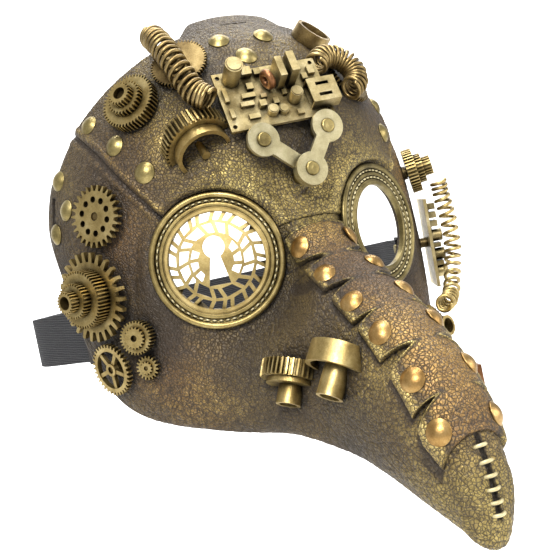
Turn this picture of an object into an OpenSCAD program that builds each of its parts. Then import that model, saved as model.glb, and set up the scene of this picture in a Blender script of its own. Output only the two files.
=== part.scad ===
// Plague doctor mask: a moulded face shell with a drooping beak, dressed with gears, springs,
// a circuit board, chain links and rivets, and worn on an elastic band.
// +X is the wearer's left, -Y is forward, +Z is up. The origin is on the bridge of the nose.

/* [Shell] */
// Wall of the moulded face shell
wall = 2.4; // [2:0.2:3]
// Thickness of the forehead panel
panel_t = 1.2; // [0.8:0.1:1.6]
// Thickness of the scalloped strip along the beak
strip_t = 1.5; // [1:0.1:2]

/* [Eyes] */
// Distance of each eye centre from the middle
eye_x = 41; // [40:0.5:43]
// Turn of each eye away from straight ahead
eye_turn = 27; // [22:1:32]
// Outer radius of a bezel
bezel_r = 30; // [28:0.5:31]
// Radius of the open eye
eye_hole_r = 19.5; // [17:0.5:20.5]
// Outer radius of the pierced lens
lens_r = 23.4; // [22:0.1:24]

/* [Fasteners] */
// Radius of a rivet's domed head
rivet_r = 4.6; // [3.5:0.1:5]
// Radius of the pegs that hold the fixed trim
peg_r = 2.6; // [2:0.1:3]
// Radial play between a gear and its post
play = 0.05; // [0.02:0.01:0.1]

/* [Springs] */
// Radius of the spring wire
wire_r = 0.8; // [0.6:0.05:0.9]
// Turns of the forehead spring
brow_turns = 19; // [12:1:20]
// Turns of the curled spring
curl_turns = 17; // [12:1:18]
// Turns of the side hose
hose_turns = 20; // [14:1:22]

/* [Band] */
// Width of the elastic band
band_w = 26; // [20:1:30]
// Thickness of the elastic band
band_t = 1.4; // [1:0.1:2]

/* [Hidden] */
$fn = 48;

// Cross-sections of the shell from its rim to its beak: top y and z, bottom y and z,
// half width, y of the sides, and how square the upper and the lower half are.
sections = [
    [37, 98, 3, -83, 96, 79, 2.0, 4.4],
    [20, 84, 0, -85, 92, 61, 2.0, 3.8],
    [5, 62, -6, -87, 84, 43, 2.1, 3.2],
    [-2, 38, -15, -88, 70, 28, 2.2, 2.8],
    [-2, 12, -26, -90, 53, 12, 2.2, 2.6],
    [-17, -10, -40, -94, 39, -8, 2.2, 2.5],
    [-42, -24, -54, -99, 29, -30, 2.2, 2.4],
    [-70, -40, -68, -105, 23, -56, 2.2, 2.3],
    [-92, -62, -82, -112, 18, -82, 2.2, 2.2],
    [-103, -89, -93, -117, 12, -99, 2.2, 2.2]];
last = len(sections) - 1;
beak_tip = [0, -104, -118];
tip_taper = 0.35;
eye_y = 11;
eye_z = -7.5;
eye_lift = 3;
seat_r = 31;
seat_blend = [6, 11];
rows_per_section = 3;
tip_rows = 6;
col_step = 6;

function smooth(u) = let (c = max(0, min(1, u))) c * c * (3 - 2 * c);
function spow(v, e) = sign(v) * pow(abs(v), e);
function unit(v) = v / norm(v);

// A smooth curve through a list of rows, at station t, straight beyond its first row
function through(list, t) =
    let (n = len(list) - 1, c = min(t, n), i = max(0, min(floor(c), n - 1)), u = c - i,
        b = list[i], d = list[i + 1],
        a = i > 0 ? list[i - 1] : 2 * b - d,
        e = i + 2 <= n ? list[i + 2] : 2 * d - b)
    c < 0 ? b + (d - b) * c
    : 0.5 * (2 * b + (d - a) * u + (2 * a - 5 * b + 4 * d - e) * u * u
        + (3 * b - a - 3 * d + e) * pow(u, 3));

// Point of the shell at station t, and angle a round it from the wearer's left over the top
function raw_skin(t, a) =
    let (s = through(sections, t), u = max(0, t - last),
        q = sqrt(max(0, 1 - u * u)) * (1 - tip_taper * u),
        w = t < 0 ? s[4] + (sections[1][4] - sections[0][4]) * t * -0.7 : s[4],
        n = s[6] + (s[7] - s[6]) * smooth((0.25 - sin(a)) / 1.05),
        cx = spow(cos(a), 2 / n), v = spow(sin(a), 2 / n),
        my = (s[0] + s[2]) / 2, mz = (s[1] + s[3]) / 2,
        c = [0, my, mz] * (1 - u) + beak_tip * u)
    c + q * [w * cx, v * (s[0] - s[2]) / 2 + (s[5] - my) * cx * cx, v * (s[1] - s[3]) / 2];

// Flat round seats for the two eyes
eye_dir = [sin(eye_turn) * cos(eye_lift), -cos(eye_turn) * cos(eye_lift), sin(eye_lift)];
function seat(p) =
    let (q = [abs(p.x), p.y, p.z] - [eye_x, eye_y, eye_z], d = q * eye_dir,
        r = q - d * eye_dir, reach = norm(r),
        wide = seat_blend[0] + seat_blend[1] * smooth(0.2 - 1.2 * r.z / max(reach, 1)),
        b = 1 - smooth((reach - seat_r) / wide), m = q - b * d * eye_dir)
    [(p.x < 0 ? -1 : 1) * (m.x + eye_x), m.y + eye_y, m.z + eye_z];
function skin(t, a) = seat(raw_skin(t, a));
function outward(t, a) =
    let (e = 0.01, c = min(t, last + 0.97))
    unit(cross(skin(c, a + 0.5) - skin(c, a - 0.5), skin(c + e, a) - skin(c - e, a)));
function above(t, a, d) = skin(t, a) + d * outward(t, a);

// The rim swells into three tabs that carry the band slots
function near_angle(a, c) = abs((a - c + 540) % 360 - 180);
function tab(a, c, h, s, k) = k * smooth((h + s - near_angle(a, c)) / s);
function rim(a) = -(tab(a, 90, 11, 7, 0.42) + tab(a, 170, 9, 6, 0.2) + tab(a, 10, 9, 6, 0.2));
function station(t, a) = t + rim(a) * pow(max(0, 1 - t / 1.5), 2);

// A solid between two grids of points, closed along its edges, or round in its columns
module sheet_solid(outer, inner, round = false) {
    rows = len(outer);
    cols = len(outer[0]);
    n = rows * cols;
    last_col = round ? cols - 1 : cols - 2;
    function id(i, j) = i * cols + (j % cols);
    polyhedron(
        points = concat([for (r = outer) each r], [for (r = inner) each r]),
        faces = concat(
            [for (i = [0:rows - 2], j = [0:last_col]) each [
                [id(i, j), id(i + 1, j), id(i + 1, j + 1)],
                [id(i, j), id(i + 1, j + 1), id(i, j + 1)],
                [n + id(i, j), n + id(i + 1, j + 1), n + id(i + 1, j)],
                [n + id(i, j), n + id(i, j + 1), n + id(i + 1, j + 1)]]],
            [for (j = [0:last_col]) each [
                [id(0, j), id(0, j + 1), n + id(0, j + 1)],
                [id(0, j), n + id(0, j + 1), n + id(0, j)]]],
            round ? [[for (j = [cols - 1:-1:0]) id(rows - 1, j)],
                    [for (j = [0:cols - 1]) n + id(rows - 1, j)]]
            : concat(
                [for (j = [0:last_col]) each [
                    [id(rows - 1, j + 1), id(rows - 1, j), n + id(rows - 1, j)],
                    [id(rows - 1, j + 1), n + id(rows - 1, j), n + id(rows - 1, j + 1)]]],
                [for (i = [0:rows - 2]) each [
                    [id(i + 1, 0), id(i, 0), n + id(i, 0)],
                    [id(i + 1, 0), n + id(i, 0), n + id(i + 1, 0)],
                    [id(i, cols - 1), id(i + 1, cols - 1), n + id(i + 1, cols - 1)],
                    [id(i, cols - 1), n + id(i + 1, cols - 1), n + id(i, cols - 1)]]])));
}

// Children stand on the shell: +Z outward, +X down, +Y towards the wearer's left in front
module on_skin(t, a, lift = 0, spin = 0, tilt = 0) {
    v = outward(t, a);
    translate(above(t, a, lift))
        rotate([0, acos(v.z), atan2(v.y, v.x)])
            rotate(spin)
                rotate([0, tilt, 0])
                    children();
}
module at_eye(side) {
    v = [side * eye_dir.x, eye_dir.y, eye_dir.z];
    translate([side * eye_x, eye_y, eye_z]) rotate([0, acos(v.z), atan2(v.y, v.x)]) children();
}
module eye_bore(side, r) {
    at_eye(side) translate([0, 0, -14]) cylinder(r = r, h = 28);
}
module top_slot() {
    on_skin(0.02, 91) cube([3, 13, 14], center = true);
}
module side_slot(a) {
    on_skin(0.12, a) cube([14, 3, 14], center = true);
}

shell_stations = concat([for (i = [0:last * rows_per_section]) i / rows_per_section],
    [for (k = [1:tip_rows]) last + 0.985 * sin(90 * k / tip_rows)]);
shell_angles = [for (j = [0:360 / col_step - 1]) j * col_step];

module mask_shell() {
    color("saddlebrown") difference() {
        sheet_solid(
            [for (t = shell_stations) [for (a = shell_angles) skin(station(t, a), a)]],
            [for (t = shell_stations) [for (a = shell_angles) above(station(t, a), a, -wall)]],
            round = true);
        for (side = [-1, 1]) eye_bore(side, 21.5);
        top_slot();
        side_slot(167);
        side_slot(13);
    }
}

panel_angles = [36:col_step:144];
panel_stations = [for (i = [0:13]) i / rows_per_section];
panel_gap = 0.05;
module forehead_panel() {
    color("peru") difference() {
        sheet_solid(
            [for (t = panel_stations) [for (a = panel_angles)
                above(station(t, a), a, panel_gap + panel_t)]],
            [for (t = panel_stations) [for (a = panel_angles)
                above(station(t, a), a, panel_gap)]]);
        for (side = [-1, 1]) eye_bore(side, bezel_r + 0.6);
        top_slot();
    }
}

// The strip along the beak has six tabs a side, each held by a rivet
tab_at = [4.86, 5.62, 6.34, 6.98, 7.7, 8.35];
rivet_x = 11.2;
strip_start = 4.5;
strip_end = 8.62;
strip_gap = 0.45;
strip_rows = 46;
strip_cols = 6;
function ridge_angle(t, x) =
    let (s = through(sections, t), k = min(0.98, abs(x) / s[4]))
    90 + sign(-x) * (90 - acos(pow(k, s[6] / 2)));
function strip_half(t) =
    let (reach = max([for (c = tab_at) smooth((0.36 - abs(t - c)) / 0.17)]),
        w = through(sections, t)[4])
    min(0.93 * w, 7 + 8.6 * reach);
module beak_strip() {
    stations = [for (i = [0:strip_rows]) strip_start + (strip_end - strip_start) * i / strip_rows];
    spread = [for (j = [-strip_cols:strip_cols]) j / strip_cols];
    color("goldenrod") sheet_solid(
        [for (t = stations) [for (f = spread)
            above(t, ridge_angle(t, f * strip_half(t)), strip_gap + strip_t)]],
        [for (t = stations) [for (f = spread)
            above(t, ridge_angle(t, f * strip_half(t)), strip_gap)]]);
}

// A rivet: a shallow dome on a shank
module rivet(lift = 0, r = rivet_r) {
    rise = r * 0.42;
    ball = (r * r + rise * rise) / (2 * rise);
    color("gold") {
        translate([0, 0, -1.4]) cylinder(r = r * 0.3, h = 1.5 + lift);
        translate([0, 0, lift]) intersection() {
            translate([0, 0, rise - ball]) sphere(r = ball);
            cylinder(r = r + 1, h = rise + 1);
        }
    }
}
strip_top = strip_gap + strip_t;
module beak_rivets() {
    for (t = tab_at, side = [-1, 1])
        on_skin(t, ridge_angle(t, side * min(rivet_x, 0.72 * through(sections, t)[4])))
            rivet(strip_top + 0.3);
}
stitch_at = [8.78, 8.98, 9.2, 9.4, 9.58, 9.74];
stitch_half = 2.6;
module beak_tip_stitches() {
    color("gold") for (t = stitch_at) on_skin(t, 90, -1.5)
        rotate([90, 0, 90]) rotate_extrude(angle = 180)
            translate([stitch_half, 0]) circle(r = 0.7, $fn = 16);
}
panel_top = panel_gap + panel_t;
module forehead_rivets() {
    for (p = [[0.7, 99], [0.77, 86], [1.28, 94.5], [0.35, 139.5], [1.35, 138.5], [2.2, 137],
            [0.35, 40.5], [1.35, 41.5], [2.2, 43]])
        on_skin(p[0], p[1]) rivet(panel_top + 0.3);
}
module temple_rivets() {
    for (p = [[0.12, 157.5], [0.72, 163.5], [0.3, 173.5], [0.12, 22.5], [0.72, 16.5], [0.3, 6.5]])
        on_skin(p[0], p[1]) rivet(0.3);
}

// Bezels: a flat ring with a raised lip inside and a bead outside
bezel_t = 2.2;
bead_r = 1.5;
module bezel(inner, lip) {
    rotate_extrude() {
        translate([inner, 0.1]) square([bezel_r - bead_r - inner, bezel_t]);
        translate([bezel_r - bead_r, 0.1 + bead_r]) circle(r = bead_r, $fn = 24);
        translate([inner, 0.1]) square([1.6, bezel_t + lip]);
    }
}
module right_eye_bezel() {
    color("darkgoldenrod") at_eye(-1) bezel(lens_r + 0.1, 0.8);
}
module left_eye_bezel() {
    color("darkgoldenrod") at_eye(1) bezel(eye_hole_r, 0.6);
}

// Lens: a disc with a raised rim, pierced by an uneven web of windows round a keyhole
lens_t = 1.6;
lens_rim = 3;
key_r = 4.8;
key_y = 6;
// Rings of windows: inner radius, outer radius, number, lean in degrees
window_rings = [[12.4, 16.4, 15, 7], [17.6, 21, 24, -4]];
near_windows = [for (side = [-1, 1], k = [0:2]) side * (57 + 30 * k)];
window_bar = 1.1;
module window(r0, r1, a0, a1, lean) {
    function corner(r, a, side) = let (b = a + side * window_bar / 2 / r * 57.3)
        [r * cos(b), r * sin(b)];
    polygon([corner(r0, a0, 1), corner(r1, a0 + lean, 1), corner(r1, a1 + lean, -1), corner(r0, a1, -1)]);
}
module windows() {
    for (ring = window_rings) for (i = [0:ring[2] - 1])
        let (step = 360 / ring[2], a = [for (k = [i, i + 1])
            step * (k + 0.17 * sin((k % ring[2]) * 137 + ring[2] * 20))])
        window(ring[0], ring[1], a[0], a[1], ring[3]);
    for (a = near_windows) window(8, 11.3, a - 15, a + 15, 4);
}
module keyhole() {
    translate([-key_y, 0]) circle(r = key_r);
    polygon([[-4, -2.2], [10.5, -4.8], [10.5, 4.8], [-4, 2.2]]);
}
module right_eye_lens() {
    color("gold") at_eye(-1) {
        translate([0, 0, 1.4]) linear_extrude(height = lens_t) difference() {
            circle(r = lens_r - 1);
            windows();
            keyhole();
        }
        translate([0, 0, 0.6]) difference() {
            cylinder(r = lens_r, h = lens_rim);
            translate([0, 0, -1]) cylinder(r = lens_r - 1.6, h = lens_rim + 2);
        }
    }
}

// Gears
module gear(r, teeth, h, depth = 1.3, tip = 0.15) {
    pitch = 360 / teeth;
    linear_extrude(height = h) polygon([for (i = [0:teeth - 1])
        each [for (q = [[-0.3, r - depth], [-tip, r], [tip, r], [0.3, r - depth]])
            [q[1] * cos((i + q[0]) * pitch), q[1] * sin((i + q[0]) * pitch)]]]);
}
module step_gear(steps, bore) {
    difference() {
        union() for (s = steps) translate([0, 0, s[0]]) gear(s[1], s[2], s[3], s[4]);
        translate([0, 0, -10]) cylinder(r = bore, h = 50);
    }
}
// Each turning gear: station, angle, lift of its underside, post radius, post height
step_spot = [1.09, 127.5, 2.3, 2.8, 9];
ten_spot = [1.8, 157.5, 1.8, 1.9, 2];
star_spot = [1.72, 182.5, 2.6, 3, 10];
small_spot = [2.62, 189, 1.6, 1.4, 5];
tiny_spot = [2.5, 199.5, 1.4, 1, 3];
spoke_spot = [1.36, 202.5, 2.2, 1.6, 1.6];
far_spot = [1.75, 17, 2.2, 2.6, 10];
turning = [step_spot, ten_spot, star_spot, small_spot, tiny_spot, spoke_spot, far_spot];
module gear_posts() {
    color("dimgray") for (p = turning) on_skin(p[0], p[1]) {
        translate([0, 0, -1.4]) cylinder(r = p[3] + 1, h = 1.4 + p[2] - 0.4);
        translate([0, 0, -1.4]) cylinder(r = p[3], h = 1.4 + p[2] + p[4]);
    }
}
module on_post(p) {
    on_skin(p[0], p[1], p[2]) children();
}
module brow_step_gear() {
    color("goldenrod") on_post(step_spot)
        step_gear([[0, 13, 46, 5, 1.3], [5, 8.2, 28, 3, 1.1], [8, 5.4, 20, 3.4, 0.9]],
            step_spot[3] + play);
}
module ten_hole_gear() {
    color("goldenrod") on_post(ten_spot) difference() {
        gear(14, 26, 2.6, 2.6, 0.1);
        for (a = [0:36:324]) rotate(a) translate([7.6, 0, -1]) cylinder(r = 1.45, h = 5);
        translate([0, 0, -1]) cylinder(r = ten_spot[3] + play, h = 5);
    }
}
module star_gear() {
    color("goldenrod") on_post(star_spot)
        step_gear([[0, 20.4, 26, 2.4, 4.4], [2.4, 13, 48, 6.6, 1.2], [9, 8, 30, 4, 1],
            [13, 5, 20, 4.4, 0.8]], star_spot[3] + play);
}
module small_gear() {
    color("goldenrod") on_post(small_spot)
        step_gear([[0, 7.6, 30, 5, 1], [5, 5, 18, 1.6, 0.8]], small_spot[3] + play);
}
module tiny_gear() {
    color("goldenrod") on_post(tiny_spot)
        step_gear([[0, 5.4, 18, 2.6, 1.2], [2.6, 3, 12, 1.2, 0.6]], tiny_spot[3] + play);
}
module spoke_gear() {
    color("goldenrod") on_post(spoke_spot) {
        difference() {
            gear(12, 34, 2.4, 1.4);
            translate([0, 0, -1]) cylinder(r = 8.8, h = 5);
        }
        difference() {
            union() {
                cylinder(r = 3, h = 2.4);
                for (a = [0:72:288]) rotate(a) translate([0, -0.9, 0.2]) cube([9.6, 1.8, 1.8]);
            }
            translate([0, 0, -1]) cylinder(r = spoke_spot[3] + play, h = 5);
        }
    }
}
module far_step_gear() {
    color("goldenrod") on_post(far_spot)
        step_gear([[0, 11.5, 40, 5, 1.2], [5, 7.6, 26, 3.6, 1], [8.6, 5, 18, 4.4, 0.8]],
            far_spot[3] + play);
}

// Fixed trim on the forehead
flat_spot = [1.0, 112, 3];
module brow_flat_gear() {
    color("darkgoldenrod") on_skin(flat_spot[0], flat_spot[1], flat_spot[2]) gear(13, 50, 2, 1.1);
}

// A spring: a wire wound round a smooth route, given its middle line and an outward hint
module spring(route, hint, turns, r, per_turn = 11, sides = 6, wire = wire_r) {
    steps = turns * per_turn;
    span = len(route) - 1;
    function mid(u) = through(route, u * span);
    function centre(u) =
        let (t = unit(mid(min(1, u + 0.005)) - mid(max(0, u - 0.005))),
            b = unit(cross(t, hint)), n = cross(b, t))
        mid(u) + r * (cos(360 * turns * u) * n + sin(360 * turns * u) * b);
    function ring(i) =
        let (u = i / steps, e = 0.2 / steps, p = centre(u),
            t = unit(centre(u + e) - centre(u - e)), o = unit(p - mid(u)),
            b = unit(cross(t, o)), n = cross(b, t))
        [for (k = [0:sides - 1]) let (a = 360 * k / sides) p + wire * (cos(a) * n + sin(a) * b)];
    pts = [for (i = [0:steps]) each ring(i)];
    polyhedron(points = pts, faces = concat(
        [for (i = [0:steps - 1], k = [0:sides - 1]) let (a = i * sides + k,
            b = i * sides + (k + 1) % sides) each [[a, b, b + sides], [a, b + sides, a + sides]]],
        [[for (k = [sides - 1:-1:0]) k], [for (k = [0:sides - 1]) steps * sides + k]]));
}
spring_r = 5;
spring_lift = 12.5;
brow_route = [above(0.25, 113, 10.9), above(0.75, 113.3, spring_lift), above(1.25, 113.3, spring_lift),
    above(1.8, 112.5, 10.5), above(2.06, 110.2, 10.4)];
module brow_spring() {
    color("darkgoldenrod") spring(brow_route, outward(1, 112), brow_turns, spring_r);
}

cup_spot = [2.5, 118.6];
cup_turn = 25;
cup_tilt = 62;
module above_base(base, size = 60) {
    translate([-size / 2, -size / 2, base]) cube(size);
}
module brow_cup_gear() {
    color("goldenrod") on_skin(cup_spot[0], cup_spot[1]) intersection() {
        rotate(cup_turn) rotate([0, cup_tilt, 0]) translate([0, 0, -7]) difference() {
            gear(16, 44, 8, 1.3);
            translate([0, 0, -1]) cylinder(r = 12.5, h = 12);
        }
        above_base(0.8);
    }
}
module brow_cup_collar() {
    color("gold") on_skin(cup_spot[0], cup_spot[1]) intersection() {
        rotate(cup_turn) rotate([0, cup_tilt, 0]) {
            translate([0, 0, -6]) difference() {
                cylinder(r = 12.4, h = 12);
                translate([0, 0, 2]) cylinder(r = 10.6, h = 12);
            }
            translate([0, 0, -5]) cylinder(r = 1.9, h = 12);
        }
        above_base(0.8);
    }
}

// Circuit board: local +Y runs to the wearer's left and +X runs down
board = [29.7, 48, 1.6];
board_at = [-4.7, 1.6, 58.1];
board_dir = unit([-0.116, -0.888, 0.446]);
board_turn = 1.9;
module on_board(x, y, z = 0) {
    translate(board_at) rotate([0, acos(board_dir.z), atan2(board_dir.y, board_dir.x)])
        rotate(board_turn) translate([x, y, z]) children();
}
module circuit_board() {
    color("gold") on_board(0, 0) difference() {
        translate([-board.x / 2, -board.y / 2, 0]) cube(board);
        for (q = [[-1, -1], [1, -1], [1, 1], [-1, 1]])
            translate([q[0] * 12.6, q[1] * 21.8, -1]) cylinder(r = 1, h = 4);
    }
}
module capacitor(r, h) {
    cylinder(r = r, h = h);
    translate([0, 0, h]) cylinder(r = r * 0.8, h = 0.4);
}
capacitors = [[-10.3, -16.6, 3.9, 12], [4.9, 7.9, 2.7, 7], [9.1, -3.7, 2.4, 3.4], [9.4, 1.2, 2.2, 2.6]];
module board_capacitors() {
    color("olive") for (c = capacitors) on_board(c[0], c[1], board.z) capacitor(c[2], c[3]);
}
chip_list = [[-6.3, 3.5, 10, 3, 11], [-6.5, 8.6, 10, 3.4, 13], [-12.4, -9.2, 4, 4.6, 3],
    [-11.6, -4.2, 3, 3, 2.4], [-2.7, -21.4, 7, 1.8, 1.8], [6.6, -21.2, 4.6, 1.8, 1.6],
    [-0.8, -11.5, 2.2, 6, 1.6], [3.4, -13.4, 2.2, 6, 1.8], [5, -7, 3, 3, 3], [-5, -9.6, 3, 3, 2],
    [9.6, -12, 2.4, 5, 1.2], [0.6, -5, 2, 2.6, 1.6], [4.4, -0.6, 3, 2.4, 2], [0.6, 4.6, 2.6, 2, 1.6],
    [11.6, 8.6, 2.4, 3, 1.4], [0.3, 11.8, 2.6, 2, 1.4], [-10.6, 14, 3, 3.4, 2], [-5, 16, 3, 2.4, 2.4],
    [-8, 20, 4, 3, 2]];
module board_chips() {
    color("goldenrod") for (c = chip_list) on_board(c[0], c[1], board.z)
        translate([-c[2] / 2, -c[3] / 2, 0]) cube([c[2], c[3], c[4]]);
}
module board_inductor() {
    color("sienna") on_board(-4.6, -2, board.z) translate([0, 0, 4.8]) rotate([90, 0, 20]) {
        rotate_extrude() translate([3, 0]) circle(r = 1.7, $fn = 24);
    }
}
usb = [12, 13, 6];
module usb_sockets() {
    color("khaki") on_board(5.4, 20.5, board.z) {
        difference() {
            translate([-usb.x / 2, -usb.y / 2, 0]) cube(usb);
            translate([-usb.x / 2 + 0.7, -usb.y / 2 - 1, 0.7]) cube([usb.x - 1.4, usb.y, usb.z - 1.4]);
            for (x = [-2.8, 2.8]) translate([x - 0.8, -3, usb.z - 1]) cube([1.6, 6, 2]);
        }
        translate([-usb.x / 2 + 1.6, -usb.y / 2 + 2, 0.7]) cube([usb.x - 3.2, usb.y - 3, 1.6]);
    }
}

// Curled spring with a flat gear and a cup behind it
curl_at = [29.4, 3, 64.5];
curl_dir = unit([0.1, -0.85, 0.5]);
curl_r = 10;
curl_route = [for (a = [146:-24.6:-76.5]) [-curl_r * sin(a), curl_r * cos(a), 0]];
module curl_spring() {
    color("darkgoldenrod") translate(curl_at)
        rotate([0, acos(curl_dir.z), atan2(curl_dir.y, curl_dir.x)])
            spring(curl_route, [0, 0, 1], curl_turns, 4.6);
}
flat_gear_spot = [1.6, 62, 1.6];
module curl_flat_gear() {
    color("darkgoldenrod") on_skin(flat_gear_spot[0], flat_gear_spot[1], flat_gear_spot[2])
        gear(13.5, 44, 2.2, 1.4);
}
cup_at = [0.7, 70];
module curl_cup() {
    color("goldenrod") on_skin(cup_at[0], cup_at[1], 0.8) difference() {
        cylinder(r = 9, h = 7);
        translate([0, 0, 2]) cylinder(r = 7.2, h = 7);
    }
}

// Chain links on the brow: local +Y to the wearer's left, +X down
chain_spot = [0, -7.3, 30.6];
link_t = 2;
pin_spots = [[-8.4, -17.9], [-9.7, 12.4], [7.5, 0.1]];
lobe_r = 7.3;
link_w = 6.6;
pin_foot = 9;
module on_chain(z = 0) {
    translate(chain_spot) rotate([0, 82, -90]) translate([0, 0, z]) children();
}
module link(p, q, z) {
    d = q - p;
    on_chain(z) difference() {
        union() {
            for (c = [p, q]) translate(c) cylinder(r = lobe_r, h = link_t);
            translate(p) rotate(atan2(d.y, d.x))
                translate([0, -link_w / 2, 0]) cube([norm(d), link_w, link_t]);
        }
        for (c = [p, q]) translate([c.x, c.y, -1]) cylinder(r = 3.2, h = link_t + 2);
    }
}
module chain_link_long() {
    color("lemonchiffon") link(pin_spots[0], pin_spots[2], 1.6);
}
module chain_link_short() {
    color("lemonchiffon") link(pin_spots[1], pin_spots[2], 1.6 + link_t + 0.05);
}
module chain_pins() {
    color("khaki") on_chain() {
        for (k = [0:2]) translate(pin_spots[k]) translate([0, 0, -pin_foot]) {
            cylinder(r = 3.15, h = pin_foot + (k == 0 ? 5 : 6.8));
            cylinder(r = 4.4, h = pin_foot + (k == 1 ? 3.4 : 1.4));
        }
    }
}

// Trim on the cheek: two half drums whose tubes point down the beak
ring_spot = [5.65, 183.5];
drum_spot = [6.67, 160];
cheek_tilt = 64;
module cheek_ring_gear() {
    color("goldenrod") on_skin(ring_spot[0], ring_spot[1]) intersection() {
        rotate([0, cheek_tilt, 0]) translate([0, 0, -8]) difference() {
            gear(13.5, 38, 7, 1.4);
            translate([0, 0, -1]) cylinder(r = 5.3, h = 12);
        }
        above_base(-0.6);
    }
}
module tube(r, bore, z, h) {
    translate([0, 0, z]) difference() {
        cylinder(r = r, h = h);
        translate([0, 0, 3]) cylinder(r = bore, h = h);
    }
}
module cheek_tube() {
    color("gold") on_skin(ring_spot[0], ring_spot[1]) intersection() {
        rotate([0, cheek_tilt, 0]) {
            tube(5.2, 3.7, -8, 17);
            translate([0, 0, -0.9]) difference() {
                cylinder(r = 10.5, h = 2);
                translate([0, 0, -1]) cylinder(r = 5, h = 4);
            }
        }
        above_base(-0.6);
    }
}
module cheek_drum() {
    color("gold") on_skin(drum_spot[0], drum_spot[1]) intersection() {
        rotate([0, cheek_tilt, 0]) {
            difference() {
                translate([0, 0, -9]) cylinder(r = 13, h = 9);
                translate([0, 0, -3]) cylinder(r = 11, h = 9);
            }
            tube(5.4, 4, -4, 15);
        }
        above_base(-0.6);
    }
}

// Far temple: a board on edge, its parts and a hose from the step gear to the lower gear
far_board_spot = [1.62, 352];
far_lift = 4;
far_board_size = [46, 24, 1.6];
module on_far_board(x, y, z = 0) {
    on_skin(far_board_spot[0], far_board_spot[1], far_lift) translate([x, y, z]) children();
}
module far_board() {
    color("goldenrod") on_far_board(0, 0)
        translate([-far_board_size.x / 2, -far_board_size.y / 2, 0]) cube(far_board_size);
}
module far_board_parts() {
    color("gold") {
        for (x = [-18.5, -14, -9.5]) on_far_board(x, -1.5, far_board_size.z)
            translate([-1.6, -5, 0]) cube([3.2, 10, 4.6]);
        for (x = [-3, 7, 16]) on_far_board(x, -1.5, far_board_size.z) cylinder(r = 3.2, h = 6.4);
        for (x = [2, 11.5]) on_far_board(x, -1.5, far_board_size.z)
            translate([-1.2, -4, 0]) cube([2.4, 8, 4.8]);
        for (x = [-16, -6, 4, 14]) on_far_board(x, 8, far_board_size.z)
            translate([-3, -2, 0]) cube([6, 4, 3]);
    }
}
hose_route = [[94.8, 32.6, 7.2], [95.7, 33.2, -0.3], [97.5, 33.4, -11.7], [97, 32.6, -25.9],
    [93.8, 31.4, -37.7], [85.5, 23.8, -48.2], [77, 15.5, -51.3], [68.8, 8, -51.4]];
module hose_spring() {
    color("goldenrod") spring(hose_route, [1, -0.4, 0], hose_turns, 3.6);
}
low_spot = [3.45, 334];
low_tilt = -28;
tube_mouth = [66, 2.8, -61];
tube_dir = unit([0.36, -0.93, 0.16]);
module along_tube(back) {
    translate(tube_mouth) rotate([0, acos(tube_dir.z), atan2(tube_dir.y, tube_dir.x)])
        translate([0, 0, -back]) children();
}
module hose_gear() {
    color("goldenrod") difference() {
        on_skin(low_spot[0], low_spot[1]) intersection() {
            rotate([0, low_tilt, 0]) translate([0, 0, 5])
                step_gear([[-4, 12.5, 40, 4.6, 1.3], [0.6, 7.5, 24, 4, 1]], 1.2);
            above_base(-0.4);
        }
        along_tube(20) cylinder(r = 5.05, h = 40);
    }
}
module hose_tube() {
    color("gold") intersection() {
        along_tube(16) {
            tube(4.6, 3.3, 0, 15);
            translate([0, 0, 14]) difference() {
                cylinder(r = 5, h = 2);
                translate([0, 0, -1]) cylinder(r = 3.6, h = 4);
            }
        }
        on_skin(low_spot[0], low_spot[1]) above_base(-0.4);
    }
}
clip_spot = [7.1, 6];
module beak_clip() {
    color("sienna") on_skin(clip_spot[0], clip_spot[1], 1.6) difference() {
        translate([-4, -4, 0]) cube([8, 8, 9]);
        translate([-2.6, -2.6, 4]) cube([5.2, 5.2, 8]);
    }
}

// Pegs pressed into the shell that carry the fixed trim
peg_list = [flat_spot, flat_gear_spot,
    [far_board_spot[0], far_board_spot[1], far_lift], [clip_spot[0], clip_spot[1], 1.6]];
module trim_pegs() {
    color("dimgray") {
        for (p = peg_list) on_skin(p[0], p[1])
            translate([0, 0, -1.4]) cylinder(r = peg_r, h = 1.4 + p[2]);
        for (y = [-14, 14]) on_board(0, y, -9) cylinder(r = peg_r, h = 9);
    }
}

// Elastic band: two sewn ends inside the temples and one loop round the back of the head
band_route = [[-87, 70, -34], [-92, 88, -35], [-99, 112, -37], [-103, 136, -39], [-97, 160, -41],
    [-76, 178, -42], [-44, 187, -43], [0, 190, -43], [44, 187, -43], [76, 178, -42],
    [97, 160, -41], [103, 136, -39], [99, 112, -37], [92, 88, -35], [87, 70, -34]];
band_steps = 56;
module elastic_band() {
    span = len(band_route) - 1;
    function mid(u) = through(band_route, u * span);
    function side(u) =
        let (t = mid(min(1, u + 0.01)) - mid(max(0, u - 0.01))) unit([t.y, -t.x, 0]);
    grid = [for (i = [0:band_steps]) let (u = i / band_steps) [for (k = [[-1, -1], [-1, 1], [1, 1], [1, -1]])
        mid(u) + side(u) * k[0] * band_t / 2 + [0, 0, k[1] * band_w / 2]]];
    pts = [for (r = grid) each r];
    color("black") polyhedron(points = pts, faces = concat(
        [for (i = [0:band_steps - 1], k = [0:3]) let (a = i * 4 + k, b = i * 4 + (k + 1) % 4)
            each [[a, b, b + 4], [a, b + 4, a + 4]]],
        [[3, 2, 1, 0], [for (k = [0:3]) band_steps * 4 + k]]));
}
module band_end(side) {
    translate([side * 87, 70, -34]) rotate([0, 0, -side * 16]) children();
}
module band_patches() {
    color("dimgray") for (side = [-1, 1]) band_end(side)
        translate([side > 0 ? 0.8 : -2, -9, -14]) cube([1.2, 16, 28]);
}
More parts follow.
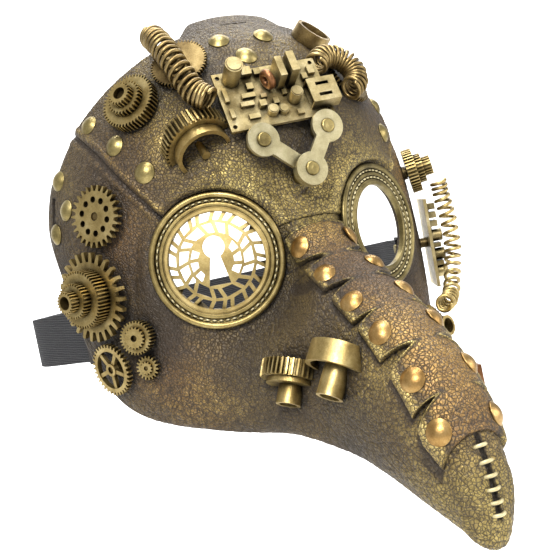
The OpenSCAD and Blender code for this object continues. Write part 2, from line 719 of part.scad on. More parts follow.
module band_studs() {
    color("gold") for (side = [-1, 1], z = [-8, 8]) band_end(side)
        translate([side > 0 ? -1.6 : 1.6, -3, z]) rotate([0, side * 90, 0]) {
            cylinder(r = 1.2, h = 5.4);
            translate([0, 0, -0.8]) cylinder(r = 2.6, h = 0.8);
        }
}

mask_shell();
forehead_panel();
beak_strip();
beak_rivets();
beak_tip_stitches();
forehead_rivets();
temple_rivets();
right_eye_bezel();
right_eye_lens();
left_eye_bezel();
brow_spring();
brow_flat_gear();
brow_step_gear();
brow_cup_gear();
brow_cup_collar();
circuit_board();
board_capacitors();
board_chips();
board_inductor();
usb_sockets();
curl_spring();
curl_flat_gear();
curl_cup();
chain_link_long();
chain_link_short();
chain_pins();
ten_hole_gear();
star_gear();
small_gear();
tiny_gear();
spoke_gear();
cheek_ring_gear();
cheek_tube();
cheek_drum();
far_step_gear();
far_board();
far_board_parts();
hose_spring();
hose_gear();
hose_tube();
beak_clip();
gear_posts();
trim_pegs();
elastic_band();
band_patches();
band_studs();
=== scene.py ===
"""Builds the looks of the plague doctor mask round its CAD frame: crackled gold skin, real coils,
stitched eye rings, ribbed elastic and gold trim with painted shade in its recesses. Lengths are in
millimetres until a mesh is made."""
import math

import bpy
import numpy as np
from mathutils import Matrix, Vector


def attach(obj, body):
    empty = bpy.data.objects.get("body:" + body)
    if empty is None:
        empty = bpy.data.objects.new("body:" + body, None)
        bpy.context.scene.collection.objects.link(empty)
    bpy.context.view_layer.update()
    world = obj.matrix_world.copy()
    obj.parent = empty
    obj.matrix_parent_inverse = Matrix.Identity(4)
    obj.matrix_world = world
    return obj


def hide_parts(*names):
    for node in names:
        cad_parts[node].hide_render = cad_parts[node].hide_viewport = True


MM = 0.001
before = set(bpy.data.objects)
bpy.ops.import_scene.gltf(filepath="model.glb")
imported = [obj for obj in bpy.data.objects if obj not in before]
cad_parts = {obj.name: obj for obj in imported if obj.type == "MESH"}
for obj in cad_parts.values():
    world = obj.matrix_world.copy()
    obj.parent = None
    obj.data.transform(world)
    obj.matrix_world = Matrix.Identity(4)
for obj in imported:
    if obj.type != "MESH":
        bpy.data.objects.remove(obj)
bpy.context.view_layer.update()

# ---------------------------------------------------------------- the shell's shape, as in the CAD
SECTIONS = np.array([
    [37, 98, 3, -83, 96, 79, 2.0, 4.4],
    [20, 84, 0, -85, 92, 61, 2.0, 3.8],
    [5, 62, -6, -87, 84, 43, 2.1, 3.2],
    [-2, 38, -15, -88, 70, 28, 2.2, 2.8],
    [-2, 12, -26, -90, 53, 12, 2.2, 2.6],
    [-17, -10, -40, -94, 39, -8, 2.2, 2.5],
    [-42, -24, -54, -99, 29, -30, 2.2, 2.4],
    [-70, -40, -68, -105, 23, -56, 2.2, 2.3],
    [-92, -62, -82, -112, 18, -82, 2.2, 2.2],
    [-103, -89, -93, -117, 12, -99, 2.2, 2.2]], float)
LAST = len(SECTIONS) - 1
BEAK_TIP = np.array([0.0, -104.0, -118.0])
TIP_TAPER = 0.35
EYE = np.array([41.0, 11.0, -7.5])
EYE_TURN, EYE_LIFT = math.radians(27), math.radians(3)
EYE_DIR = np.array([math.sin(EYE_TURN) * math.cos(EYE_LIFT), -math.cos(EYE_TURN) * math.cos(EYE_LIFT),
                    math.sin(EYE_LIFT)])
SEAT_R, SEAT_BLEND = 31.0, (6.0, 11.0)
WALL, PANEL_T, PANEL_GAP, STRIP_T, STRIP_GAP = 2.4, 1.2, 0.05, 1.5, 0.45
BEZEL_R, LENS_R, EYE_HOLE_R = 30.0, 23.4, 19.5


def smooth(u):
    c = np.clip(u, 0, 1)
    return c * c * (3 - 2 * c)


def spow(v, e):
    return np.sign(v) * np.abs(v) ** e


def unit(v):
    return v / np.maximum(np.linalg.norm(v, axis=-1, keepdims=True), 1e-12)


def through(rows, t):
    """A smooth curve through rows of numbers, at stations t, straight beyond the first row."""
    rows, t = np.asarray(rows, float), np.asarray(t, float)
    n = len(rows) - 1
    c = np.minimum(t, n)
    i = np.clip(np.floor(c), 0, n - 1).astype(int)
    u = (c - i)[..., None]
    b, d = rows[i], rows[i + 1]
    a = np.where((i > 0)[..., None], rows[np.maximum(i - 1, 0)], 2 * b - d)
    e = np.where((i + 2 <= n)[..., None], rows[np.minimum(i + 2, n)], 2 * d - b)
    curve = 0.5 * (2 * b + (d - a) * u + (2 * a - 5 * b + 4 * d - e) * u ** 2
                   + (3 * b - a - 3 * d + e) * u ** 3)
    return np.where((c < 0)[..., None], b + (d - b) * u, curve)


def raw_skin(t, a):
    t, a = np.broadcast_arrays(np.asarray(t, float), np.radians(np.asarray(a, float)))
    s = through(SECTIONS, t)
    u = np.maximum(0, t - LAST)
    q = np.sqrt(np.maximum(0, 1 - u * u)) * (1 - TIP_TAPER * u)
    w = np.where(t < 0, s[..., 4] + (SECTIONS[1, 4] - SECTIONS[0, 4]) * t * -0.7, s[..., 4])
    n = s[..., 6] + (s[..., 7] - s[..., 6]) * smooth((0.25 - np.sin(a)) / 1.05)
    cx, v = spow(np.cos(a), 2 / n), spow(np.sin(a), 2 / n)
    my, mz = (s[..., 0] + s[..., 2]) / 2, (s[..., 1] + s[..., 3]) / 2
    c = np.stack([0 * my, my, mz], -1) * (1 - u)[..., None] + BEAK_TIP * u[..., None]
    off = np.stack([w * cx, v * (s[..., 0] - s[..., 2]) / 2 + (s[..., 5] - my) * cx * cx,
                    v * (s[..., 1] - s[..., 3]) / 2], -1)
    return c + q[..., None] * off


def eye_space(p):
    """Distance along and round the axis of the nearer eye, and the part of the offset across that axis."""
    q = np.stack([np.abs(p[..., 0]), p[..., 1], p[..., 2]], -1) - EYE
    d = q @ EYE_DIR
    r = q - d[..., None] * EYE_DIR
    return d, np.linalg.norm(r, axis=-1), r, q


def skin(t, a):
    p = raw_skin(t, a)
    d, reach, r, q = eye_space(p)
    wide = SEAT_BLEND[0] + SEAT_BLEND[1] * smooth(0.2 - 1.2 * r[..., 2] / np.maximum(reach, 1))
    b = 1 - smooth((reach - SEAT_R) / wide)
    m = q - (b * d)[..., None] * EYE_DIR + EYE
    m[..., 0] *= np.where(p[..., 0] < 0, -1, 1)
    return m


def outward(t, a):
    e, c = 0.01, np.minimum(t, LAST + 0.97)
    return unit(np.cross(skin(c, a + 0.5) - skin(c, a - 0.5), skin(c + e, a) - skin(c - e, a)))


def above(t, a, lift):
    return skin(t, a) + np.asarray(lift)[..., None] * outward(t, a)


def tab(a, c, h, s, k):
    return k * smooth((h + s - np.abs((a - c + 540) % 360 - 180)) / s)


def station(t, a):
    rim = -(tab(a, 90, 11, 7, 0.42) + tab(a, 170, 9, 6, 0.2) + tab(a, 10, 9, 6, 0.2))
    return t + rim * np.maximum(0, 1 - t / 1.5) ** 2


def facing(p, v):
    """Matrix of a frame at p with +Z along v and +X down, in millimetres."""
    rot = Matrix.Rotation(math.atan2(v[1], v[0]), 4, "Z") @ Matrix.Rotation(math.acos(v[2]), 4, "Y")
    return Matrix.Translation(Vector(p)) @ rot


def on_skin(t, a, lift=0.0):
    """Frame of a spot on the shell, with +Z outward."""
    t, a = np.array(float(t)), np.array(float(a))
    v = outward(t, a)
    return facing(skin(t, a) + lift * v, v)


def at_eye(side):
    return facing(EYE * (side, 1, 1), EYE_DIR * (side, 1, 1))


# ---------------------------------------------------------------- repeatable noise
def hashed(ix, iy, iz, seed):
    h = (ix * 374761393 + iy * 668265263 + iz * 2147483647 + seed * 974634777) & 0xFFFFFFFF
    h = ((h ^ (h >> 13)) * 1274126177) & 0xFFFFFFFF
    h = ((h ^ (h >> 16)) * 2246822519) & 0xFFFFFFFF
    return ((h ^ (h >> 13)) & 0xFFFFFF) / float(0xFFFFFF)


def value_noise(p, size, seed):
    q = p / size
    i = np.floor(q).astype(np.int64)
    f = q - i
    f = f * f * (3 - 2 * f)
    total = 0
    for dx in (0, 1):
        for dy in (0, 1):
            for dz in (0, 1):
                w = (f[..., 0] if dx else 1 - f[..., 0]) * (f[..., 1] if dy else 1 - f[..., 1])
                w = w * (f[..., 2] if dz else 1 - f[..., 2])
                total = total + w * hashed(i[..., 0] + dx, i[..., 1] + dy, i[..., 2] + dz, seed)
    return total


def cells(p, size, seed):
    """Distances to the nearest and the second nearest point of a jittered lattice, in cell sizes."""
    q = p / size
    i = np.floor(q).astype(np.int64)
    best = np.full(q.shape[:-1], 9.0)
    second = best.copy()
    for dx in (-1, 0, 1):
        for dy in (-1, 0, 1):
            for dz in (-1, 0, 1):
                c = i + (dx, dy, dz)
                x, y, z = c[..., 0], c[..., 1], c[..., 2]
                j = np.stack([hashed(x, y, z, seed + k) for k in (1, 2, 3)], -1)
                d = np.linalg.norm(c + 0.1 + 0.8 * j - q, axis=-1)
                second = np.minimum(second, np.maximum(best, d))
                best = np.minimum(best, d)
    return best, second


def leather(p, coarse=3.9, fine=2.0):
    """Height of the crackled hide in millimetres, 0 on the plates and below 0 in the creases."""
    warp = np.stack([value_noise(p, 9, k) for k in (21, 22, 23)], -1) * 3 - 1.5
    b, s = cells(p + warp, coarse, 5)
    b2, s2 = cells(p + 0.6 * warp, fine, 11)
    folds = -0.24 * (1 - smooth((s - b) / 0.26)) - 0.1 * (1 - smooth((s2 - b2) / 0.34))
    run = np.abs(value_noise(p * (1, 0.3, 0.2), 4.5, 61) - 0.5)
    creases = -0.75 * (1 - smooth(run / 0.07)) * blob(p, (0, -3, 4), (17, 14, 26))
    return folds + creases + 0.5 * (value_noise(p, 24, 31) - 0.5) + 0.16 * (value_noise(p, 7, 32) - 0.5)


def blob(p, centre, size, mirror=True):
    q = np.stack([np.abs(p[..., 0]), p[..., 1], p[..., 2]], -1) if mirror else p
    return np.exp(-np.sum(((q - np.array(centre, float)) / size) ** 2, -1))


def paint(p):
    """How pale and how coppery the dry-brushed paint is at each point. The paleness is partly the paint's own
    tone and partly painted light: painted highlight on the bridge, the brows, the top of the beak and the
    lower cheeks, painted shade under the chain, and darker along the lower outer edge of each eye ring.
    """
    # paint tone mixed with painted highlight on the bridge, brows, beak top and lower cheeks
    tone_and_painted_light = 0.27 + 0.46 * blob(p, (0, -4, 4), (24, 20, 26)) + 0.30 * blob(p, (34, 2, 26), (22, 16, 12))
    tone_and_painted_light += 0.36 * blob(p, (0, -64, -56), (30, 44, 30)) + 0.30 * blob(p, (0, -100, -105), 28)
    tone_and_painted_light += 0.18 * blob(p, (0, 20, 80), 26) + 0.14 * blob(p, (46, 14, 62), 22)
    tone_and_painted_light += 0.26 * blob(p, (60, 26, -66), (30, 26, 18)) + 0.16 * blob(p, (80, 42, 16), 22)
    # painted shade under the chain; darker along the lower outer edge of each eye ring
    tone_and_painted_light -= 0.10 * blob(p, (0, 0, 34), (22, 14, 12)) + 0.12 * blob(p, (62, 24, -24), (22, 26, 18))
    tone_and_painted_light += 0.26 * (value_noise(p, 18, 41) - 0.5)
    copper = 0.62 * blob(p, (62, 26, -58), 28) + 0.75 * blob(p, (76, 38, 10), (18, 22, 24))
    copper += 0.3 * blob(p, (70, 34, 46), 22) + 0.16 * blob(p, (0, -78, -75), 30) + (
        0.3 * (value_noise(p, 26, 43) - 0.5))
    return np.clip(tone_and_painted_light, 0, 1), np.clip(copper, 0, 1)


# ---------------------------------------------------------------- meshes
def new_mesh(name, points, faces, smooth_shading=True, attributes=None, face_slots=None):
    mesh = bpy.data.meshes.new(name)
    points = np.asarray(points, float).reshape(-1, 3) * MM
    mesh.from_pydata([], [], [])
    if isinstance(faces, np.ndarray):
        k, n = faces.shape[1], len(faces)
        mesh.vertices.add(len(points))
        mesh.vertices.foreach_set("co", points.astype(np.float32).ravel())
        mesh.loops.add(n * k)
        mesh.loops.foreach_set("vertex_index", faces.astype(np.int32).ravel())
        mesh.polygons.add(n)
        mesh.polygons.foreach_set("loop_start", (np.arange(n) * k).astype(np.int32))
        mesh.update(calc_edges=True)
    else:
        mesh.from_pydata(points.tolist(), [], faces)
    mesh.validate()
    mesh.polygons.foreach_set("use_smooth", np.full(len(mesh.polygons), smooth_shading))
    for key, values in (attributes or {}).items():
        layer = mesh.attributes.new(key, "FLOAT", "POINT")
        layer.data.foreach_set("value", np.asarray(values, np.float32).ravel())
    if face_slots is not None:
        mesh.polygons.foreach_set("material_index", face_slots.astype(np.int32))
    obj = bpy.data.objects.new(name, mesh)
    bpy.context.scene.collection.objects.link(obj)
    return obj


def join_parts(parts):
    """Several (points, quads) as one pair."""
    points, faces, base = [], [], 0
    for p, f in parts:
        points.append(np.asarray(p, float).reshape(-1, 3))
        faces.append(np.asarray(f) + base)
        base += len(points[-1])
    return np.concatenate(points), np.concatenate(faces)


def moved(matrix, p):
    m = np.array(matrix, float)
    return np.asarray(p, float).reshape(-1, 3) @ m[:3, :3].T + m[:3, 3]


def grid_faces(rows, cols, wrap=False, flip=False):
    i, j = np.meshgrid(np.arange(rows - 1), np.arange(cols if wrap else cols - 1), indexing="ij")
    j2 = (j + 1) % cols
    q = np.stack([i * cols + j, (i + 1) * cols + j, (i + 1) * cols + j2, i * cols + j2], -1)
    q = q.reshape(-1, 4)
    return q[:, ::-1] if flip else q


def closed_patch(outer, inner, wrap=False, drop=None):
    """Quads of a thick sheet between two grids, with the faces in drop cut out and every edge walled."""
    rows, cols = outer.shape[:2]
    n = rows * cols
    top = grid_faces(rows, cols, wrap)
    keep = np.ones(len(top), bool) if drop is None else ~drop.ravel()
    top = top[keep]
    edges = np.concatenate([top[:, [k, (k + 1) % 4]] for k in range(4)])
    key = edges[:, 0].astype(np.int64) * n + edges[:, 1]
    back = edges[:, 1].astype(np.int64) * n + edges[:, 0]
    rim = edges[~np.isin(key, back)]
    wall = np.stack([rim[:, 1], rim[:, 0], rim[:, 0] + n, rim[:, 1] + n], -1)
    faces = np.concatenate([top, top[:, ::-1] + n, wall])
    slots = np.concatenate([np.zeros(len(top)), np.ones(len(top)), np.zeros(len(wall))])
    return np.concatenate([outer.reshape(-1, 3), inner.reshape(-1, 3)]), faces, slots


def cut_circle(grids, wrap, radius):
    """Snaps the vertices inside a circle about either eye onto it, and returns which faces to drop."""
    rows, cols = grids[0].shape[:2]
    reach = eye_space(grids[0])[1]
    inside = reach < radius
    f = grid_faces(rows, cols, wrap)
    flat = inside.ravel()
    drop = flat[f].all(1)
    used = np.zeros(rows * cols, bool)
    used[f[~drop].ravel()] = True
    snap = (used & flat).reshape(rows, cols)
    for g in grids:
        d, r, across, q = eye_space(g)
        m = EYE + d[..., None] * EYE_DIR + across * (radius / np.maximum(r, 1e-6))[..., None]
        m[..., 0] *= np.where(g[..., 0] < 0, -1, 1)
        g[snap] = m[snap]
    return drop


def tube_along(path, radius, sides):
    """A round tube along a polyline of points."""
    path = np.asarray(path, float)
    tangent = unit(np.gradient(path, axis=0))
    ref = np.array([0.0, 0, 1]) if abs(tangent[0][2]) < 0.9 else np.array([1.0, 0, 0])
    normal = unit(ref - (ref @ tangent[0]) * tangent[0])
    normals = []
    for t in tangent:
        normal = unit(normal - (normal @ t) * t)
        normals.append(normal)
    normals = np.array(normals)
    side = np.cross(tangent, normals)
    a = np.linspace(0, 2 * np.pi, sides, endpoint=False)
    radius = np.broadcast_to(radius, len(path))[:, None, None]
    c, s = np.cos(a)[None, :, None], np.sin(a)[None, :, None]
    ring = path[:, None] + radius * (c * normals[:, None] + s * side[:, None])
    # each end closes on the middle of the wire
    ring = np.concatenate([np.repeat(path[:1, None], sides, 1), ring,
                           np.repeat(path[-1:, None], sides, 1)])
    return ring.reshape(-1, 3), grid_faces(len(ring), sides, wrap=True, flip=True)


COIL_STEPS = 40  # points on each turn of a spring


def coil(route, hint, turns, r, wire):
    """A wire wound round a route, as in the CAD."""
    span = len(route) - 1
    hint = np.asarray(hint, float)

    def mid(u):
        return through(route, np.clip(u, 0, 1) * span)

    u = np.linspace(0, 1, turns * COIL_STEPS + 1)
    t = unit(mid(u + 0.005) - mid(u - 0.005))
    b = unit(np.cross(t, hint))
    n = np.cross(b, t)
    wave = 1 + 0.03 * np.sin(2 * np.pi * u * turns * 0.37)
    w = 2 * np.pi * turns * u
    centre = mid(u) + r * wave[:, None] * (np.cos(w)[:, None] * n + np.sin(w)[:, None] * b)
    return tube_along(centre, wire, 12)


def lathe(profile, steps):
    """A closed profile of (radius, height) turned round Z; its first ring is repeated at the end."""
    profile = np.asarray(profile, float)
    a = np.linspace(0, 2 * np.pi, steps, endpoint=False)
    pts = np.stack([profile[:, None, 0] * np.cos(a), profile[:, None, 0] * np.sin(a),
                    np.broadcast_to(profile[:, None, 1], (len(profile), steps))], -1)
    closed = np.concatenate([pts, pts[:1]])
    return closed.reshape(-1, 3), grid_faces(len(closed), steps, wrap=True)


def rounded(points, r=0.35, steps=4):
    """A closed outline with its corners rounded off."""
    out, n = [], len(points)
    for k in range(n):
        a, b, c = (np.array(points[(k + d) % n], float) for d in (-1, 0, 1))
        e = min(r, np.linalg.norm(a - b) / 2.2, np.linalg.norm(c - b) / 2.2)
        p, q = b + unit(a - b) * e, b + unit(c - b) * e
        for s in np.linspace(0, 1, steps + 1):
            out.append((1 - s) ** 2 * p + 2 * s * (1 - s) * b + s * s * q)
    return out


def stitch(a, b, up, radius=0.42, sag=0.35):
    """A plump stitch from a to b that dips at both ends."""
    a, b, up = (np.asarray(v, float) for v in (a, b, up))
    s = np.linspace(0, 1, 9)
    path = a + (b - a) * s[:, None] + up * (sag * (np.sin(np.pi * s) ** 0.6 - 0.6))[:, None]
    return tube_along(path, radius * (0.55 + 0.45 * np.sin(np.pi * s) ** 0.5), 8)


# ---------------------------------------------------------------- materials
class Graph:
    """Short names for the shader nodes that the materials share."""

    def __init__(self, name):
        self.material = bpy.data.materials.new(name)
        self.material.use_nodes = True
        self.tree = self.material.node_tree
        self.tree.nodes.clear()
        self.out = self.tree.nodes.new("ShaderNodeOutputMaterial")
        self.bsdf = self.tree.nodes.new("ShaderNodeBsdfPrincipled")
        self.link(self.bsdf.outputs[0], self.out.inputs[0])
        self.coords = self.tree.nodes.new("ShaderNodeTexCoord").outputs["Object"]

    def link(self, a, b):
        self.tree.links.new(a, b)

    def put(self, value, socket):
        if isinstance(value, bpy.types.NodeSocket):
            self.link(value, socket)
        elif value is not None:
            socket.default_value = value

    def noise(self, scale, detail=3.0, roughness=0.55, vector=None):
        n = self.tree.nodes.new("ShaderNodeTexNoise")
        self.link(vector or self.coords, n.inputs["Vector"])
        n.inputs["Scale"].default_value = scale
        n.inputs["Detail"].default_value = detail
        n.inputs["Roughness"].default_value = roughness
        return n.outputs["Fac"]

    def warped(self, scale, amount):
        n = self.tree.nodes.new("ShaderNodeTexNoise")
        self.link(self.coords, n.inputs["Vector"])
        n.inputs["Scale"].default_value = scale
        n.inputs["Detail"].default_value = 2.0
        m = self.tree.nodes.new("ShaderNodeVectorMath")
        m.operation = "MULTIPLY_ADD"
        self.link(n.outputs["Color"], m.inputs[0])
        m.inputs[1].default_value = (amount,) * 3
        self.link(self.coords, m.inputs[2])
        return m.outputs[0]

    def edges(self, scale, vector=None):
        n = self.tree.nodes.new("ShaderNodeTexVoronoi")
        n.feature = "DISTANCE_TO_EDGE"
        self.link(vector or self.coords, n.inputs["Vector"])
        n.inputs["Scale"].default_value = scale
        return n.outputs["Distance"]

    def ramp(self, fac, stops):
        """A colour ramp; a stop's colour is a grey level or three numbers."""
        n = self.tree.nodes.new("ShaderNodeValToRGB")
        self.link(fac, n.inputs[0])
        while len(n.color_ramp.elements) < len(stops):
            n.color_ramp.elements.new(0.5)
        for e, (at, colour) in zip(n.color_ramp.elements, stops):
            e.position = at
            e.color = (colour,) * 3 + (1,) if isinstance(colour, (int, float)) else colour + (1,)
        return n.outputs[0]

    def math(self, op, a, b=None, clamp=False):
        n = self.tree.nodes.new("ShaderNodeMath")
        n.operation = op
        n.use_clamp = clamp
        self.put(a, n.inputs[0])
        self.put(b, n.inputs[1])
        return n.outputs[0]

    def mix(self, fac, a, b, mode="MIX"):
        n = self.tree.nodes.new("ShaderNodeMix")
        n.data_type = "RGBA"
        n.blend_type = mode
        self.put(fac, n.inputs[0])
        for value, socket in ((a, n.inputs[6]), (b, n.inputs[7])):
            self.put(value + (1,) if isinstance(value, tuple) else value, socket)
        return n.outputs[2]

    def attribute(self, name):
        n = self.tree.nodes.new("ShaderNodeAttribute")
        n.attribute_name = name
        return n.outputs["Fac"]

    def recess_shade(self, distance):
        """Ambient occlusion for painted shade: 1 in the open, falling to 0 in recesses narrower than
        distance.
        """
        n = self.tree.nodes.new("ShaderNodeAmbientOcclusion")
        n.samples = 6
        n.inputs["Distance"].default_value = distance
        return n.outputs["AO"]

    def bump(self, height, strength, distance):
        n = self.tree.nodes.new("ShaderNodeBump")
        n.inputs["Strength"].default_value = strength
        n.inputs["Distance"].default_value = distance
        self.link(height, n.inputs["Height"])
        return n.outputs[0]

    def finish(self, colour, roughness, metallic, normal):
        self.put(colour, self.bsdf.inputs["Base Color"])
        self.put(roughness, self.bsdf.inputs["Roughness"])
        self.put(metallic, self.bsdf.inputs["Metallic"])
        self.link(normal, self.bsdf.inputs["Normal"])
        return self.material


DARK = (0.028, 0.018, 0.009)
PAINT = ("tone_and_painted_light", "copper", "height")  # point attributes that the hide reads: tone with painted light, copper tint and relief height


def hide_material(name, lift=0.0, grain=680.0, warm=1.0):
    """Crackled hide: dark creases, bronze flanks and dry-brushed gold on top of each plate, with painted
    highlight and shade from the tone attribute and the relief, and painted shade in the recesses.
    """
    g = Graph(name)
    vec = g.warped(170, 0.0026)
    big = g.edges(grain * 0.46, vec)
    small = g.edges(grain, vec)
    cloud = g.noise(55, 4.0, 0.6)
    patch = g.ramp(g.noise(38, 3.0, 0.6), [(0.36, 0.0), (0.62, 1.0)])
    crack_big = g.mix(patch, g.ramp(big, [(0.0, 0.0), (0.03, 0.35), (0.09, 1.0)]), (1.0, 1.0, 1.0))
    crack_small = g.ramp(small, [(0.0, 0.0), (0.05, 0.3), (0.2, 1.0)])
    plates = g.math("MULTIPLY", crack_big, crack_small)
    speck = g.noise(1900, 4.0, 0.65)
    # the tone attribute is the paint's own tone with painted highlight and shade mixed in
    level = g.math("MULTIPLY_ADD", g.attribute("tone_and_painted_light"), 1.02)
    level.node.inputs[2].default_value = lift - 0.29
    level = g.math("ADD", level, g.math("MULTIPLY", cloud, 0.3))
    # relief: raised plates lighter and creases darker, partly dry-brushed paint and partly painted highlight
    # and shade
    fold = g.math("MULTIPLY_ADD", g.attribute("height"), 0.5)
    fold.node.inputs[2].default_value = 0.05
    level = g.math("ADD", level, fold)
    level = g.math("ADD", level, g.math("MULTIPLY", g.math("SUBTRACT", speck, 0.5), 0.45), clamp=True)
    gold = g.ramp(level, [(0.0, (0.040, 0.028, 0.015)), (0.26, (0.122, 0.087, 0.034)),
                          (0.5, (0.33, 0.25, 0.085)), (0.74, (0.56, 0.445, 0.165)),
                          (1.0, (0.80, 0.69, 0.34))])
    bronze = g.ramp(level, [(0.0, (0.045, 0.025, 0.016)), (0.3, (0.165, 0.085, 0.034)),
                            (0.6, (0.45, 0.255, 0.085)), (1.0, (0.77, 0.53, 0.22))])
    tint = g.math("MULTIPLY", g.attribute("copper"), warm, clamp=True)
    colour = g.mix(tint, gold, bronze)
    worn = g.ramp(plates, [(0.0, 0.0), (0.85, 1.0)])
    colour = g.mix(worn, DARK, colour)
    # painted shade: ambient occlusion darkens the hide in its recesses and where trim sits close over it
    hide_recess_shade = g.ramp(g.recess_shade(0.010), [(0.3, 0.14), (0.85, 1.0)])
    colour = g.mix(1.0, colour, hide_recess_shade, "MULTIPLY")
    rough = g.ramp(level, [(0.0, 0.56), (0.5, 0.47), (1.0, 0.4)])
    metal = g.ramp(g.math("MULTIPLY", level, worn), [(0.08, 0.2), (0.5, 0.75)])
    height = g.math("ADD", g.math("MULTIPLY", plates, 0.8), g.math("MULTIPLY", speck, 0.16))
    return g.finish(colour, rough, metal, g.bump(height, 0.75, 0.00042))


def metal_material(name, low, mid, high, shade_depth, shade_reach=0.006, rough=(0.34, 0.5), metallic=0.95):
    """Painted gold casting: lighter worn faces, painted shade in the recesses and where parts meet, and a
    fine cast grain.
    """
    g = Graph(name)
    cloud = g.noise(120, 4.0, 0.6)
    fine = g.noise(1800, 3.0, 0.6)
    level = g.math("ADD", g.math("MULTIPLY", cloud, 0.75), g.math("MULTIPLY", fine, 0.3))
    colour = g.ramp(level, [(0.32, low), (0.52, mid), (0.72, high)])
    # painted shade: ambient occlusion, broken up by noise, darkens recesses and gaps between parts
    ao = g.recess_shade(shade_reach)
    near = g.math("ADD", ao, g.math("MULTIPLY", g.math("SUBTRACT", cloud, 0.5), 0.5), clamp=True)
    recess_shade = g.ramp(near, [(0.34, 1 - shade_depth), (0.66, 0.5), (0.94, 1.0)])
    colour = g.mix(1.0, colour, recess_shade, "MULTIPLY")
    scratches = g.noise(700, 6.0, 0.7, g.warped(300, 0.004))
    roughness = g.ramp(scratches, [(0.35, rough[0]), (0.7, rough[1])])
    height = g.math("ADD", g.math("MULTIPLY", fine, 0.5), g.math("MULTIPLY", scratches, 0.5))
    return g.finish(colour, roughness, metallic, g.bump(height, 0.35, 0.0003))


def band_material():
    g = Graph("elastic")
    n = g.tree.nodes.new("ShaderNodeTexWave")
    n.bands_direction = "Z"
    g.link(g.coords, n.inputs["Vector"])
    n.inputs["Scale"].default_value = 260
    n.inputs["Distortion"].default_value = 1.2
    n.inputs["Detail"].default_value = 2.0
    fibre = g.noise(2600, 3.0, 0.6)
    rib = g.math("ADD", g.math("MULTIPLY", n.outputs["Fac"], 0.7), g.math("MULTIPLY", fibre, 0.4))
    colour = g.ramp(rib, [(0.1, (0.004, 0.004, 0.005)), (0.6, (0.016, 0.016, 0.018)),
                          (1.0, (0.05, 0.05, 0.052))])
    return g.finish(colour, g.ramp(fibre, [(0.3, 0.75), (0.7, 0.92)]), 0.0, g.bump(rib, 0.8, 0.0004))


def lining_material():
    g = Graph("lining")
    weave = g.noise(900, 4.0, 0.7)
    stain = g.noise(45, 4.0, 0.6)
    colour = g.mix(g.ramp(stain, [(0.35, 0.0), (0.7, 1.0)]), (0.022, 0.019, 0.017), (0.055, 0.046, 0.038))
    colour = g.mix(0.5, colour, g.ramp(weave, [(0.3, 0.3), (0.7, 1.0)]), "MULTIPLY")
    return g.finish(colour, g.ramp(weave, [(0.3, 0.7), (0.7, 0.9)]), 0.0, g.bump(weave, 0.5, 0.0004))


def floor_material():
    g = Graph("paper_floor")
    fibre = g.noise(90, 5.0, 0.6)
    colour = g.ramp(fibre, [(0.3, (0.86, 0.86, 0.855)), (0.7, (0.90, 0.90, 0.895))])
    return g.finish(colour, g.ramp(fibre, [(0.3, 0.8), (0.7, 0.9)]), 0.0, g.bump(fibre, 0.05, 0.0005))


hide = hide_material("crackled_hide")
panel_hide = hide_material("forehead_hide", lift=0.02)
strip_hide = hide_material("strip_hide", lift=0.1, grain=700.0, warm=1.15)
lining = lining_material()
# gold trim with painted shade in its recesses
gold = metal_material("gold_recess_shaded", (0.24, 0.165, 0.055), (0.44, 0.325, 0.125), (0.64, 0.51, 0.24),
                      shade_depth=0.93, shade_reach=0.005)
old_gold = metal_material("dull_gold", (0.11, 0.07, 0.028), (0.27, 0.19, 0.075), (0.46, 0.345, 0.155),
                          shade_depth=0.95, shade_reach=0.005)
pale = metal_material("pale_gold", (0.30, 0.255, 0.13), (0.45, 0.395, 0.225), (0.60, 0.54, 0.345),
                      shade_depth=0.85, rough=(0.3, 0.46), metallic=0.85)
copper = metal_material("dull_copper", (0.08, 0.035, 0.018), (0.22, 0.10, 0.042), (0.42, 0.21, 0.10),
                        shade_depth=0.9)
board_gold = metal_material("board_gold", (0.26, 0.195, 0.08), (0.47, 0.375, 0.18), (0.68, 0.58, 0.34),
                            shade_depth=0.97, shade_reach=0.005)
ring_gold = metal_material("ring_gold", (0.17, 0.12, 0.045), (0.33, 0.25, 0.095), (0.52, 0.41, 0.18),
                           shade_depth=0.9)
ring_olive = metal_material("ring_olive", (0.085, 0.066, 0.022), (0.185, 0.145, 0.055), (0.32, 0.26, 0.11),
                            shade_depth=0.85, metallic=0.8)
rivet_olive = metal_material("rivet_olive", (0.16, 0.12, 0.045), (0.31, 0.245, 0.095), (0.47, 0.38, 0.17),
                             shade_depth=0.7, shade_reach=0.003, rough=(0.34, 0.46))
rivet_orange = metal_material("rivet_orange", (0.21, 0.115, 0.035), (0.40, 0.24, 0.08), (0.58, 0.40, 0.17),
                              shade_depth=0.7, shade_reach=0.003, rough=(0.32, 0.44))
lens_gold = metal_material("lens_gold", (0.22, 0.155, 0.055), (0.40, 0.30, 0.115), (0.58, 0.46, 0.21),
                           shade_depth=0.9, rough=(0.46, 0.6), metallic=0.85)
thread = metal_material("pale_thread", (0.40, 0.33, 0.17), (0.60, 0.52, 0.29), (0.80, 0.71, 0.45),
                        shade_depth=0.8, shade_reach=0.0015, rough=(0.45, 0.6), metallic=0.6)
elastic = band_material()

# ---------------------------------------------------------------- the shell
ROWS, COLS = ((420, 600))
TIP_END = LAST + 0.985
SHELL_EYE_CUT = 21.5
SLIT_START, SLIT_END = 8.62, 9.86  # stations of the slit under the staples
PANEL_LOW, PANEL_HIGH, PANEL_END = 36, 144, 4.345  # the panel's angles and its last station
DEGREE, STATION = 1.4, 22  # roughly, in millimetres on the surface


